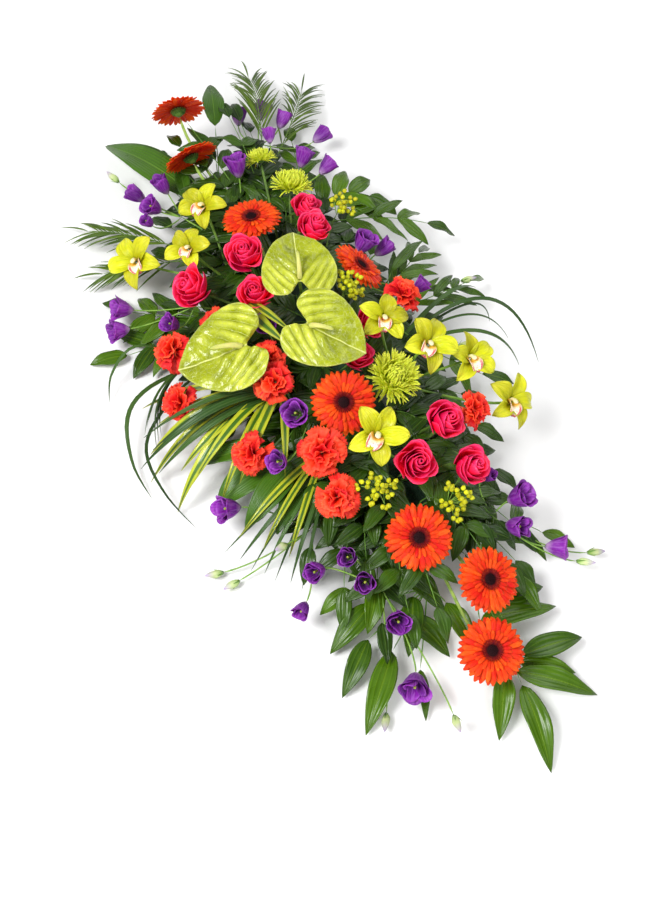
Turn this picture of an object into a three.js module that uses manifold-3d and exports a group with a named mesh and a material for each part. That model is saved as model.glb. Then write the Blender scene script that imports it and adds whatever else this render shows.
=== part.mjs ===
// Casket spray: a long, low flower arrangement in a plastic tray of floral foam.
// Millimetres, +Z up. The tray's underside is centred on the origin, and +X runs to the spray's foot end.
import * as THREE from 'three';
import { mergeVertices } from 'three/addons/utils/BufferGeometryUtils.js';
import Module from 'manifold-3d';

// Tray, foam and tape
const TRAY_INNER_LENGTH = 700;
const TRAY_INNER_WIDTH = 116;
const TRAY_HEIGHT = 35;
const TRAY_WALL = 2;
const TRAY_FLARE = 3;
const FOAM_LENGTH = 230;
const FOAM_WIDTH = 110;
const FOAM_HEIGHT = 80;
const FOAM_COUNT = 3;
const FOAM_BEVEL = 2;
const FIT_GAP = 0.35;
const HOLE_CLEARANCE = 0.55;
const TAPE_WIDTH = 12;
const TAPE_THICKNESS = 0.7;
const TAPE_PLACES = [-138, 126];
const TAPE_END_HEIGHT = 12;

// Flowers: overall diameters of full-size heads
const GERBERA_DIAMETER = 114;
const ANTHURIUM_LENGTH = 150;
const CHRYSANTHEMUM_DIAMETER = 104;
const ORCHID_DIAMETER = 108;
const ROSE_DIAMETER = 72;
const CARNATION_DIAMETER = 84;
const BELL_LENGTH = 42;
const BUD_LENGTH = 34;
const BERRY_DIAMETER = 13;

// How far behind the middle of a full-size head its stem ends
const GERBERA_DEPTH = 16;
const ANTHURIUM_DEPTH = 0;
const CHRYSANTHEMUM_DEPTH = 13;
const ORCHID_DEPTH = 2;
const ROSE_DEPTH = 26;
const CARNATION_DEPTH = 30;
const BELL_DEPTH = 23.1;
const BUD_DEPTH = 10.2;
const BERRY_DEPTH = 24;

// Stem radii
const GERBERA_STEM = 3;
const ANTHURIUM_STEM = 3;
const WOODY_STEM = 2.6;
const CARNATION_STEM = 2.2;
const THIN_STEM = 1.7;
const SIDE_STEM = 1.4;

// How far up its trunk a pair of roses or carnations, and a spike of orchids, forks
const PAIR_FORK = 0.45;
const SPIKE_FORK = 0.5;

// Blades are at least this thick along their middle, and this far from the surface the tray stands on
const BLADE_THICKNESS = 1.6;
const LEAFLET_WIDTH = 6;
const SURFACE_GAP = 3;

// Stem feet: how far in they are drawn, how far they keep from the foam's ends and sides, and their heights
// under low and high flowers
const FOOT_SHARE_X = 0.5;
const FOOT_SHARE_Y = 0.17;
const FOOT_END_MARGIN = 22;
const FOOT_SIDE_MARGIN = 17;
const LOW_FLOWER = 60;
const HIGH_FLOWER = 180;
const SHALLOW_FOOT = 54;
const DEEP_FOOT = 32;

// A stem is straight in the foam and this far past it
const EXIT_STRETCH = 6;

// Berries in a cluster, how far they spread, and the angle from each to the next
const BERRY_COUNT = 5;
const BERRY_SPREAD = 19;
const GOLDEN_ANGLE = Math.PI * (3 - Math.sqrt(5));

// How often a leaf is turned or shortened before it is left out
const LEAF_ATTEMPTS = 8;

// Edges shorter than this are left out where solids are joined
const SLIVER = 0.06;

const SEED = 2613;

const wasm = await Module();
wasm.setup();

const vec = (x, y, z) => new THREE.Vector3(x, y, z);
const spray = new THREE.Group();
const standing = [];
const stemHoles = [];

/** A repeatable random number from 0 to 1. */
let randomState = SEED;
function random() {
  randomState = (randomState * 16807) % 2147483647;
  return randomState / 2147483647;
}

/** A closed three.js geometry as a manifold-3d solid. */
function toSolid(geometry) {
  geometry.deleteAttribute('normal');
  geometry.deleteAttribute('uv');
  const merged = mergeVertices(geometry, 1e-4);
  const mesh = new wasm.Mesh({
    numProp: 3,
    vertProperties: Float32Array.from(merged.attributes.position.array),
    triVerts: Uint32Array.from(merged.index.array),
  });
  return new wasm.Manifold(mesh);
}

/** A manifold-3d solid as a three.js geometry. */
function toGeometry(solid) {
  const mesh = solid.getMesh();
  const geometry = new THREE.BufferGeometry();
  geometry.setAttribute('position', new THREE.BufferAttribute(mesh.vertProperties, 3));
  geometry.setIndex(new THREE.BufferAttribute(mesh.triVerts, 1));
  geometry.computeVertexNormals();
  return geometry;
}

/** A copy of a solid moved by a three.js matrix. */
function moved(solid, matrix) {
  return solid.transform(matrix.elements);
}

/** The matrix that turns +Z to `face`, spins round it, scales, and moves to `at`. */
function facing(at, face, spin = 0, scale = 1) {
  const turn = new THREE.Quaternion().setFromUnitVectors(vec(0, 0, 1), face.clone().normalize());
  turn.multiply(new THREE.Quaternion().setFromAxisAngle(vec(0, 0, 1), spin));
  return new THREE.Matrix4().compose(at, turn, vec(scale, scale, scale));
}

/** Puts each ring and column of a small sphere mesh where `place` says, and closes it into a solid. */
function shaped(sides, rings, place) {
  const geometry = new THREE.SphereGeometry(1, sides, rings);
  const position = geometry.attributes.position;
  for (let i = 0; i < position.count; i += 1) {
    const ring = Math.floor(i / (sides + 1));
    const column = (i % (sides + 1)) % sides;
    const atPole = ring === 0 || ring === rings;
    const point = place(ring, atPole ? 0 : column, (2 * Math.PI * column) / sides);
    position.setXYZ(i, point.x, point.y, point.z);
  }
  return toSolid(geometry);
}

/**
 * A solid of revolution round +Z through [radius, height] rings from its top pole to its bottom pole, whose
 * points `wave` may move.
 */
function turned(profile, sides, wave = (radius, height) => [radius, height]) {
  return shaped(sides, profile.length - 1, (ring, column, angle) => {
    const [radius, height] = profile[ring];
    if (radius === 0) {
      return vec(0, 0, height);
    }
    const [r, z] = wave(radius, height, column, ring);
    return vec(r * Math.cos(angle), r * Math.sin(angle), z);
  });
}

/** A whorl of petals: a lens with a lobed rim, `lobe` giving [radius, height] of each point of it. */
function whorl(count, top, bottom, lobe) {
  const profile = [[0, top], [1, 0], [0, bottom]];
  return turned(profile, count, (radius, height, column) => lobe(column));
}

/**
 * A spindle along a curve: stations `at` run from tip to tip, `wide` and `deep` are its half sizes at the
 * stations between, `up` is the side its upper ridge looks to, and `cup` lifts its edges.
 */
function spindle({ curve, at, wide, deep, up = vec(0, 0, 1), sides = 4, cup = 0 }) {
  const rings = at.length - 1;
  const start = sides === 3 ? Math.PI / 2 : 0;
  return shaped(sides, rings, (ring, column, angle) => {
    const point = curve.getPoint(at[ring]);
    if (ring === 0 || ring === rings) {
      return point;
    }
    const tangent = curve.getTangent(at[ring]);
    const side = tangent.clone().cross(up).normalize();
    const over = side.clone().cross(tangent);
    const across = Math.cos(angle + start);
    const lift = Math.sin(angle + start) * deep[ring - 1] + Math.abs(across) * cup * wide[ring - 1];
    point.addScaledVector(side, across * wide[ring - 1]);
    return point.addScaledVector(over, lift);
  });
}

/** A direction square to a bend, or to a straight line, that keeps a stem's sections from twisting. */
function squareTo(start, end) {
  const bend = start.clone().cross(end);
  if (bend.length() > 0.05) {
    return bend.normalize();
  }
  const helper = Math.abs(start.z) < 0.8 ? vec(0, 0, 1) : vec(1, 0, 0);
  return start.clone().cross(helper).normalize();
}

/** A round stem along a curve, with a ring at each station between its two tips. */
function rod(curve, radius, at, sides = 4, up = squareTo(curve.getTangent(0), curve.getTangent(1))) {
  const size = at.slice(1, -1).map(() => radius);
  return spindle({ curve, at, wide: size, deep: size, up, sides });
}

/** Joins solids into one body and leaves loose scraps and sealed hollows out. */
function joined(parts) {
  const bodies = wasm.Manifold.union(parts).simplify(SLIVER).decompose();
  bodies.sort((a, b) => b.volume() - a.volume());
  return bodies[0];
}

/** Adds a named sub-part to the spray. */
function addPart(name, solid, colour, roughness, metalness = 0) {
  const material = new THREE.MeshStandardMaterial({ color: colour, roughness, metalness });
  const mesh = new THREE.Mesh(toGeometry(solid), material);
  mesh.name = name;
  spray.add(mesh);
}

/** True where two boxes come within a small gap of each other. */
function boxesMeet(a, b) {
  return [0, 1, 2].every((i) => a.min[i] < b.max[i] + FIT_GAP && b.min[i] < a.max[i] + FIT_GAP);
}

/** True where a solid keeps clear of every flower and stem placed so far. */
function isClear(solid) {
  const box = solid.boundingBox();
  return standing.every((other) => !boxesMeet(box, other.box) || solid.intersect(other.solid).isEmpty());
}

/** Keeps later foliage clear of a solid. */
function keepClearOf(solid) {
  standing.push({ solid, box: solid.boundingBox() });
}

/** Adds a flower or a leafy bunch, which later foliage keeps clear of. */
function addPlant(name, parts, colour, roughness) {
  const solid = joined(parts);
  keepClearOf(solid);
  addPart(name, solid, colour, roughness);
}

/**
 * Where a stem stands in the foam: drawn in under its flower, or at its own place along the foam. A stem
 * whose flower is high stands deep.
 */
function footUnder(at, footX = at.x * FOOT_SHARE_X) {
  const reachX = (FOAM_LENGTH * FOAM_COUNT) / 2 - FOOT_END_MARGIN;
  const reachY = FOAM_WIDTH / 2 - FOOT_SIDE_MARGIN;
  const x = THREE.MathUtils.clamp(footX, -reachX, reachX);
  const y = THREE.MathUtils.clamp(at.y * FOOT_SHARE_Y, -reachY, reachY);
  const z = THREE.MathUtils.mapLinear(at.z, LOW_FLOWER, HIGH_FLOWER, SHALLOW_FOOT, DEEP_FOOT);
  return vec(x, y, THREE.MathUtils.clamp(z, DEEP_FOOT, SHALLOW_FOOT));
}

/** The point just outside the foam where a straight line from `foot` along `heading` leaves it. */
function exitPoint(foot, heading) {
  const half = [(FOAM_LENGTH * FOAM_COUNT) / 2 + 1, FOAM_WIDTH / 2];
  const top = TRAY_WALL + FIT_GAP + FOAM_HEIGHT;
  const sides = [
    (Math.sign(heading.x) * half[0] - foot.x) / heading.x,
    (Math.sign(heading.y) * half[1] - foot.y) / heading.y,
    (top - foot.z) / heading.z,
  ];
  const inside = Math.min(...sides.filter((length) => length > 0));
  return foot.clone().addScaledVector(heading, inside + EXIT_STRETCH);
}

/** The heading of a stem at its foot: towards its flower, but steeper. */
function headingTo(foot, end) {
  const rise = end.clone().sub(foot);
  rise.z = Math.max(rise.z, 0) + rise.length() * 0.25;
  return rise.normalize();
}

/** A stem that stands straight in its own hole in the foam and then bends to the back of its flower. */
function standingStem(foot, end, endDirection, radius) {
  const heading = headingTo(foot, end);
  const exit = exitPoint(foot, heading);
  const reach = exit.distanceTo(end);
  const path = new THREE.CurvePath();
  path.add(new THREE.LineCurve3(foot, exit));
  path.add(new THREE.CubicBezierCurve3(exit, exit.clone().addScaledVector(heading, reach * 0.35),
    end.clone().addScaledVector(endDirection, -reach * 0.3), end));
  const share = foot.distanceTo(exit) / path.getLength();
  const up = squareTo(heading, endDirection);
  stemHoles.push({ foot, exit, heading, radius, up });
  return rod(path, radius, [0, 0.01, share, share + (1 - share) * 0.5, 0.985, 1], 4, up);
}

/** A straight stem in its own hole that ends at a fork above the foam. */
function trunk(foot, fork, radius) {
  const heading = fork.clone().sub(foot).normalize();
  stemHoles.push({ foot, exit: exitPoint(foot, heading), heading, radius, up: squareTo(heading, heading) });
  return rod(new THREE.LineCurve3(foot, fork), radius, [0, 0.01, 0.98, 1]);
}

/** A branch that leaves a trunk just below its fork and bends to the back of a flower or berry. */
function branch(foot, fork, end, direction, radius, sides = 3) {
  const from = fork.clone().addScaledVector(foot.clone().sub(fork).normalize(), radius * 3);
  const reach = from.distanceTo(end);
  const arrive = end.clone().addScaledVector(direction, -reach * 0.35);
  return rod(new THREE.QuadraticBezierCurve3(from, arrive, end), radius, [0, 0.04, 0.55, 1.001], sides);
}

/** A flower head placed so that its local +Z looks along the bloom's `face`. */
function placedHead(head, { at, face, size = 1, spin = 0 }) {
  return moved(head, facing(vec(...at), vec(...face), spin, size));
}

/** The point at the back of a bloom where its stem ends. */
function backOf({ at, face, size = 1 }, depth) {
  return vec(...at).addScaledVector(vec(...face).normalize(), -depth * size);
}

/** A flower head on a stem of its own. */
function onStem(head, bloom, radius, depth) {
  const look = vec(...bloom.face).normalize();
  const foot = footUnder(vec(...bloom.at), bloom.footX);
  return [placedHead(head, bloom), standingStem(foot, backOf(bloom, depth), look, radius)];
}

/** Blooms whose stems fork from one trunk. */
function onFork(head, blooms, radius, depth, rise) {
  const middle = vec(0, 0, 0);
  blooms.forEach(({ at }) => middle.addScaledVector(vec(...at), 1 / blooms.length));
  const foot = footUnder(middle);
  const fork = foot.clone().lerp(middle, rise);
  const parts = [trunk(foot, fork, radius)];
  blooms.forEach((bloom) => {
    const look = vec(...bloom.face).normalize();
    parts.push(placedHead(head, bloom));
    parts.push(branch(foot, fork, backOf(bloom, depth), look, radius, 4));
  });
  return parts;
}

// Plastic tray: a long open trough with flared walls that holds the foam.
function makeTray() {
  const trough = (length, width, flare, bottom, top) => {
    const box = new THREE.BoxGeometry(length, width, top - bottom);
    box.translate(0, 0, (top + bottom) / 2);
    const position = box.attributes.position;
    for (let i = 0; i < position.count; i += 1) {
      const share = position.getZ(i) / TRAY_HEIGHT;
      position.setX(i, position.getX(i) + Math.sign(position.getX(i)) * flare * share);
      position.setY(i, position.getY(i) + Math.sign(position.getY(i)) * flare * share);
    }
    return toSolid(box);
  };
  const outer = trough(TRAY_INNER_LENGTH + 2 * TRAY_WALL, TRAY_INNER_WIDTH + 2 * TRAY_WALL, TRAY_FLARE, 0,
    TRAY_HEIGHT);
  const inner = trough(TRAY_INNER_LENGTH, TRAY_INNER_WIDTH, TRAY_FLARE, TRAY_WALL, TRAY_HEIGHT + 1);
  addPart('tray', outer.subtract(inner), 0x1d3b22, 0.5);
  keepClearOf(outer);
}

// Floral foam: three bevelled bricks end to end, with a plain hole for each stem.
function makeFoam() {
  const shape = new THREE.Shape();
  const halfWidth = FOAM_WIDTH / 2;
  const top = TRAY_WALL + FIT_GAP + FOAM_HEIGHT;
  shape.moveTo(-halfWidth, TRAY_WALL + FIT_GAP);
  shape.lineTo(halfWidth, TRAY_WALL + FIT_GAP);
  shape.lineTo(halfWidth, top - FOAM_BEVEL);
  shape.lineTo(halfWidth - FOAM_BEVEL, top);
  shape.lineTo(-halfWidth + FOAM_BEVEL, top);
  shape.lineTo(-halfWidth, top - FOAM_BEVEL);
  const holes = stemHoles.map(({ foot, exit, heading, radius, up }) => {
    const bottom = foot.clone().addScaledVector(heading, -2 * HOLE_CLEARANCE);
    return rod(new THREE.LineCurve3(bottom, exit), radius + HOLE_CLEARANCE, [0, 0.006, 0.99, 1], 4, up);
  });
  const allHoles = wasm.Manifold.union(holes);
  for (let i = 0; i < FOAM_COUNT; i += 1) {
    const brick = new THREE.ExtrudeGeometry(shape, { depth: FOAM_LENGTH, bevelEnabled: false });
    brick.rotateX(Math.PI / 2);
    brick.rotateZ(Math.PI / 2);
    brick.translate((i - FOAM_COUNT / 2) * (FOAM_LENGTH + FIT_GAP) + FIT_GAP / 2, 0, 0);
    addPart(`foam_brick_${i + 1}`, joined([toSolid(brick).subtract(allHoles)]), 0x2f5d3a, 0.95);
  }
}

// Anchor tape: a waterproof strip over the foam and down the outside of the tray.
function makeTapes() {
  const top = TRAY_WALL + FIT_GAP + FOAM_HEIGHT + FIT_GAP;
  const halfFoam = FOAM_WIDTH / 2 + FIT_GAP;
  const halfTray = TRAY_INNER_WIDTH / 2 + TRAY_WALL + TRAY_FLARE + FIT_GAP;
  const half = [[halfTray, TAPE_END_HEIGHT], [halfTray, TRAY_HEIGHT + FIT_GAP], [halfFoam, top - FOAM_BEVEL],
    [halfFoam - FOAM_BEVEL, top]];
  const inside = [...half, ...half.map(([y, z]) => [-y, z]).reverse()];
  const outside = inside.map(([y, z]) => {
    const overFoam = z > TRAY_HEIGHT + FOAM_BEVEL;
    return [y + Math.sign(y) * TAPE_THICKNESS, z + (overFoam ? TAPE_THICKNESS : 0)];
  });
  const shape = new THREE.Shape([...inside, ...outside.reverse()].map(([y, z]) => new THREE.Vector2(y, z)));
  TAPE_PLACES.forEach((x, i) => {
    const strip = new THREE.ExtrudeGeometry(shape, { depth: TAPE_WIDTH, bevelEnabled: false });
    strip.rotateX(Math.PI / 2);
    strip.rotateZ(Math.PI / 2);
    strip.translate(x - TAPE_WIDTH / 2, 0, 0);
    const tape = toSolid(strip);
    addPart(`anchor_tape_${i + 1}`, tape, 0x2c4a30, 0.4);
    keepClearOf(tape);
  });
}

/**
 * A head made of one skin: rings of [radius, height, lobe, lift] from the top pole to the bottom pole.
 * Every other point of a ring is drawn in by the share `lobe` and lowered by `lift`.
 */
function petalled(rings, sides) {
  return turned(rings, sides, (radius, height, column, ring) => {
    const [, , lobe = 0, lift = 0] = rings[ring];
    const inside = (column + ring) % 2 === 0;
    return [radius * (1 - (inside ? lobe : 0)), height - (inside ? lift : 0)];
  });
}

// Gerbera: rays that lie in two layers round a domed eye, with a green calyx behind.
function gerberaHead() {
  const radius = GERBERA_DIAMETER / 2;
  const rays = 11;
  const profile = [[0, 7], [15, 4.5], [radius, 0], [11, -5], [0, -18]];
  return turned(profile, rays * 3, (r, z, column, ring) => {
    if (ring !== 2) {
      return [r, z];
    }
    const upperLayer = Math.floor(column / 3) % 2 === 0;
    const reach = [0.42, 0.96, 1][column % 3] * (upperLayer ? 0.93 : 1);
    return [r * reach, column % 3 === 0 ? 1 : (upperLayer ? 4 : -3)];
  });
}

// Anthurium: a heart-shaped, ribbed spathe along +X with its spadix at the sinus.
function anthuriumHead() {
  const length = ANTHURIUM_LENGTH;
  const half = [[0.7, 0], [0.6, 0.17], [0.42, 0.34], [0.16, 0.46], [-0.1, 0.46], [-0.26, 0.34],
    [-0.28, 0.16], [-0.08, 0]];
  const outline = [...half, ...half.slice(1, -1).reverse().map(([x, y]) => [x, -y])];
  const edge = new THREE.SplineCurve(outline.concat([outline[0]]).map(([x, y]) => new THREE.Vector2(x, y)));
  const sides = 16;
  const ringShare = [0, 0.55, 1, 0.55, 0];
  const spathe = shaped(sides, 4, (ring, column) => {
    const rim = edge.getPoint(column / sides);
    const share = ringShare[ring];
    const dish = (rim.length() ** 2) * share * share * 26 - Math.max(rim.x - 0.5, 0) * share * 60;
    const rib = ring === 1 || ring === 3 ? (column % 2) * 1.8 - 0.9 : 0;
    const face = ring < 2 ? 1.8 : -1.8;
    return vec(rim.x * share * length, rim.y * share * length, dish + rib + (ring === 2 ? 0 : face));
  });
  const spadixCurve = new THREE.QuadraticBezierCurve3(vec(-4, 0, -2), vec(8, 0, 26), vec(44, 0, 38));
  const spadix = spindle({
    curve: spadixCurve, at: [0, 0.15, 0.55, 0.93, 1], wide: [5, 5.5, 3.6], deep: [5, 5.5, 3.6], sides: 6,
  });
  return joined([spathe, spadix]);
}

// Spider chrysanthemum: five rising layers of pointed florets that stand out of a domed head.
function chrysanthemumHead() {
  const radius = CHRYSANTHEMUM_DIAMETER / 2;
  const rings = [[0, 30], [radius * 0.42, 36, 0.42, 8], [radius * 0.68, 27, 0.36, 8],
    [radius * 0.88, 13, 0.34, 4], [radius, -3, 0.36, 0], [radius * 0.9, -15, 0.42, -3], [0, -17]];
  return petalled(rings, 20);
}

// Cymbidium orchid: five waxy tepals, a lip that curls forward and a hooded column.
function orchidHead() {
  const radius = ORCHID_DIAMETER / 2;
  const lobe = [[0.2, 1], [0.72, 3], [1, -1], [0.72, 3]];
  const tepals = whorl(20, 4, -5, (column) => {
    const [reach, height] = lobe[column % 4];
    const side = Math.floor(column / 4) === 0 ? 1 : 0.96;
    return [radius * reach * side, height * 2];
  });
  const lipTip = vec(-32, -0.5, 12);
  const lipCurve = new THREE.QuadraticBezierCurve3(vec(-9, 0.7, -0.5), vec(-16, 0.4, 22), lipTip);
  const lip = spindle({
    curve: lipCurve, at: [0, 0.4, 0.85, 1], wide: [9, 11], deep: [2, 1.6], up: vec(1, 0, 1), cup: 0.35,
  });
  const columnCurve = new THREE.LineCurve3(vec(8, -0.6, -0.5), vec(2, 0.5, 22));
  const hood = spindle({
    curve: columnCurve, at: [0, 0.7, 1], wide: [5], deep: [5], up: vec(1, 0, 0), sides: 3,
  });
  const fanned = moved(tepals, new THREE.Matrix4().makeRotationZ(-2 * Math.PI * 2 / 20));
  return joined([fanned, lip, hood]);
}

// Rose: rising rings of lobed petals round a furled bud, over green sepals.
function roseHead() {
  const radius = ROSE_DIAMETER / 2;
  const rings = [[0, 25], [radius * 0.2, 28, 0.2, 2], [radius * 0.27, 20], [radius * 0.48, 27, 0.16, 3],
    [radius * 0.52, 16], [radius * 0.78, 20, 0.14, 4], [radius * 0.74, 8], [radius, 8, 0.14, -3], [0, -29]];
  return petalled(rings, 10);
}

// Carnation: ruffled, toothed rings of petals on a long calyx.
function carnationHead() {
  const radius = CARNATION_DIAMETER / 2;
  const rings = [[0, 26], [radius * 0.36, 31, 0.26, 8], [radius * 0.42, 20], [radius * 0.72, 24, 0.18, 9],
    [radius * 0.66, 9], [radius, 8, 0.16, 10], [8, -12], [0, -34]];
  return petalled(rings, 12);
}

// Lisianthus bell: an open, five-petalled cup that narrows to its stem, with its mouth towards local +Z.
function bellHead() {
  const length = BELL_LENGTH;
  const profile = [[0, -length * 0.35], [length * 0.3, 0], [length * 0.52, length * 0.34],
    [length * 0.36, -length * 0.2], [0, -length * 0.62]];
  return turned(profile, 6, (radius, height, column, ring) => {
    const flare = ring === 2 && column % 2 === 1;
    return [flare ? radius * 0.78 : radius, flare ? height + 3 : height];
  });
}

// Lisianthus bud: a slim furled cone.
function budHead() {
  const length = BUD_LENGTH;
  const profile = [[0, 0.6], [0.2, 0], [0.12, -0.3], [0, -0.4]];
  return turned(profile.map(([radius, height]) => [radius * length, height * length]), 4);
}

const HEADS = { bell: bellHead(), bud: budHead() };

/** Lisianthus spray: one stem from the foam that forks to its bells and buds. */
function lisianthusSpray({ foot, fork, heads }) {
  const base = vec(...foot);
  const node = vec(...fork);
  const parts = [trunk(base, node, THIN_STEM)];
  heads.forEach((bloom) => {
    const kind = bloom.kind ?? 'bell';
    const depth = kind === 'bell' ? BELL_DEPTH : BUD_DEPTH;
    parts.push(placedHead(HEADS[kind], bloom));
    parts.push(branch(base, node, backOf(bloom, depth), vec(...bloom.face).normalize(), SIDE_STEM));
  });
  return parts;
}

/** Hypericum: a woody stem that ends in a cluster of berries. */
function berrySpray({ at, face, size = 1 }) {
  const look = vec(...face).normalize();
  const fork = vec(...at).addScaledVector(look, -BERRY_DEPTH * size);
  const parts = [standingStem(footUnder(vec(...at)), fork, look, THIN_STEM)];
  const berry = turned([[0, 1.1], [1, 0.45], [0.95, -0.5], [0, -1]], 4);
  for (let i = 0; i < BERRY_COUNT; i += 1) {
    const spread = BERRY_SPREAD * size * Math.sqrt((i + 0.3) / BERRY_COUNT);
    const turn = i * GOLDEN_ANGLE;
    const local = vec(spread * Math.cos(turn), spread * Math.sin(turn), 5 * Math.cos(i * 2.3) * size);
    const place = local.applyMatrix4(facing(vec(...at), look));
    const out = place.clone().sub(fork).normalize();
    parts.push(moved(berry, facing(place, out, i, BERRY_DIAMETER / 2)));
    const twig = new THREE.LineCurve3(fork.clone().addScaledVector(look, -4), place);
    parts.push(rod(twig, SIDE_STEM, [0, 0.35, 1], 3));
  }
  return parts;
}

// Flowers by kind: middle of the bloom, the way it faces, and its size against a full-size head.
const GERBERAS = [
  { at: [-680, -55, 140], face: [-0.93, 0.1, 0.35] },
  { at: [-530, -85, 155], face: [-0.9, -0.12, 0.4] },
  { at: [-280, -60, 222], face: [-0.2, -0.1, 0.97] },
  { at: [-95, 80, 236], face: [0, 0.56, 0.83], size: 0.95 },
  { at: [165, -75, 226], face: [0.42, -0.3, 0.86] },
  { at: [422, -50, 175], face: [0.4, -0.25, 0.88] },
  { at: [520, 40, 140], face: [0.35, 0.1, 0.93] },
  { at: [622, -2, 104], face: [0.3, -0.1, 0.95] },
];

const ANTHURIUMS = [
  { at: [-73, -58, 280], face: [0.05, -0.12, 0.99], spin: 2.85, size: 0.93 },
  { at: [-15, -192, 208], face: [0.1, -0.5, 0.86], spin: -1.74, size: 1.12, footX: -52 },
  { at: [41, -85, 288], face: [0.32, -0.12, 0.94], spin: 0.75, size: 0.97 },
];

const CHRYSANTHEMUMS = [
  { at: [138, 38, 212], face: [0.3, 0.05, 0.95] },
  { at: [-455, 35, 182], face: [-0.75, 0.05, 0.66], size: 0.62 },
  { at: [-362, 62, 190], face: [-0.35, 0.2, 0.92], size: 0.86 },
];

const ORCHID_SPIKES = [
  [
    { at: [-348, -263, 95], face: [0.2, -0.6, 0.77], spin: 3.16 },
    { at: [-362, -124, 188], face: [0.2, -0.4, 0.89], spin: 2.2, size: 0.88 },
    { at: [-278, -184, 178], face: [0.2, -0.4, 0.89], spin: 2.45, size: 0.82 },
  ],
  [
    { at: [50, 50, 264], face: [0.4, -0.1, 0.9], spin: 2.67, size: 0.86 },
    { at: [130, 96, 268], face: [0.4, 0.05, 0.9], spin: 2.3, size: 0.95 },
    { at: [160, 172, 232], face: [0.45, 0.15, 0.88], spin: 3.12, size: 0.9 },
    { at: [222, 246, 146], face: [0.5, 0.25, 0.83], spin: 2.7, size: 0.96 },
  ],
  [
    { at: [250, -56, 236], face: [0.45, -0.15, 0.88], spin: 2.23, size: 0.96 },
  ],
];

const ROSE_PAIRS = [
  [
    { at: [-280, 55, 208], face: [0.1, 0.25, 0.96], size: 0.88 },
    { at: [-212, 38, 232], face: [0.1, 0.1, 1], size: 0.92 },
  ],
  [
    { at: [-198, -106, 222], face: [0.1, -0.35, 0.93] },
    { at: [-200, -208, 164], face: [0.1, -0.65, 0.75] },
  ],
  [
    { at: [-112, -122, 216], face: [0.2, -0.3, 0.93], size: 0.95 },
  ],
  [
    { at: [16, 49, 211], face: [0.3, 0.1, 0.95], size: 0.85 },
    { at: [86, -16, 234], face: [0.3, 0, 0.95], size: 0.85 },
  ],
  [
    { at: [250, 80, 212], face: [0.4, 0.15, 0.9] },
    { at: [336, 90, 188], face: [0.45, 0.3, 0.85] },
  ],
  [
    { at: [306, -2, 206], face: [0.45, -0.1, 0.88] },
  ],
];

const CARNATION_PAIRS = [
  [
    { at: [-118, -280, 108], face: [-0.1, -0.78, 0.62], size: 0.9 },
    { at: [-14, -303, 92], face: [0, -0.82, 0.57], size: 0.9 },
  ],
  [
    { at: [-108, -196, 160], face: [-0.1, -0.6, 0.8], size: 0.85 },
    { at: [9, -147, 186], face: [0.05, -0.45, 0.89], size: 0.75 },
  ],
  [
    { at: [158, -238, 138], face: [0.2, -0.75, 0.63], size: 0.95 },
    { at: [63, -157, 190], face: [0.2, -0.5, 0.85], size: 0.9 },
  ],
  [
    { at: [225, -140, 192], face: [0.35, -0.4, 0.85] },
    { at: [304, -145, 172], face: [0.4, -0.4, 0.83], size: 0.9 },
  ],
  [
    { at: [235, 155, 186], face: [0.35, 0.45, 0.82], size: 0.85 },
    { at: [-25, 140, 212], face: [0, 0.45, 0.89], size: 0.9 },
  ],
];

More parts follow.
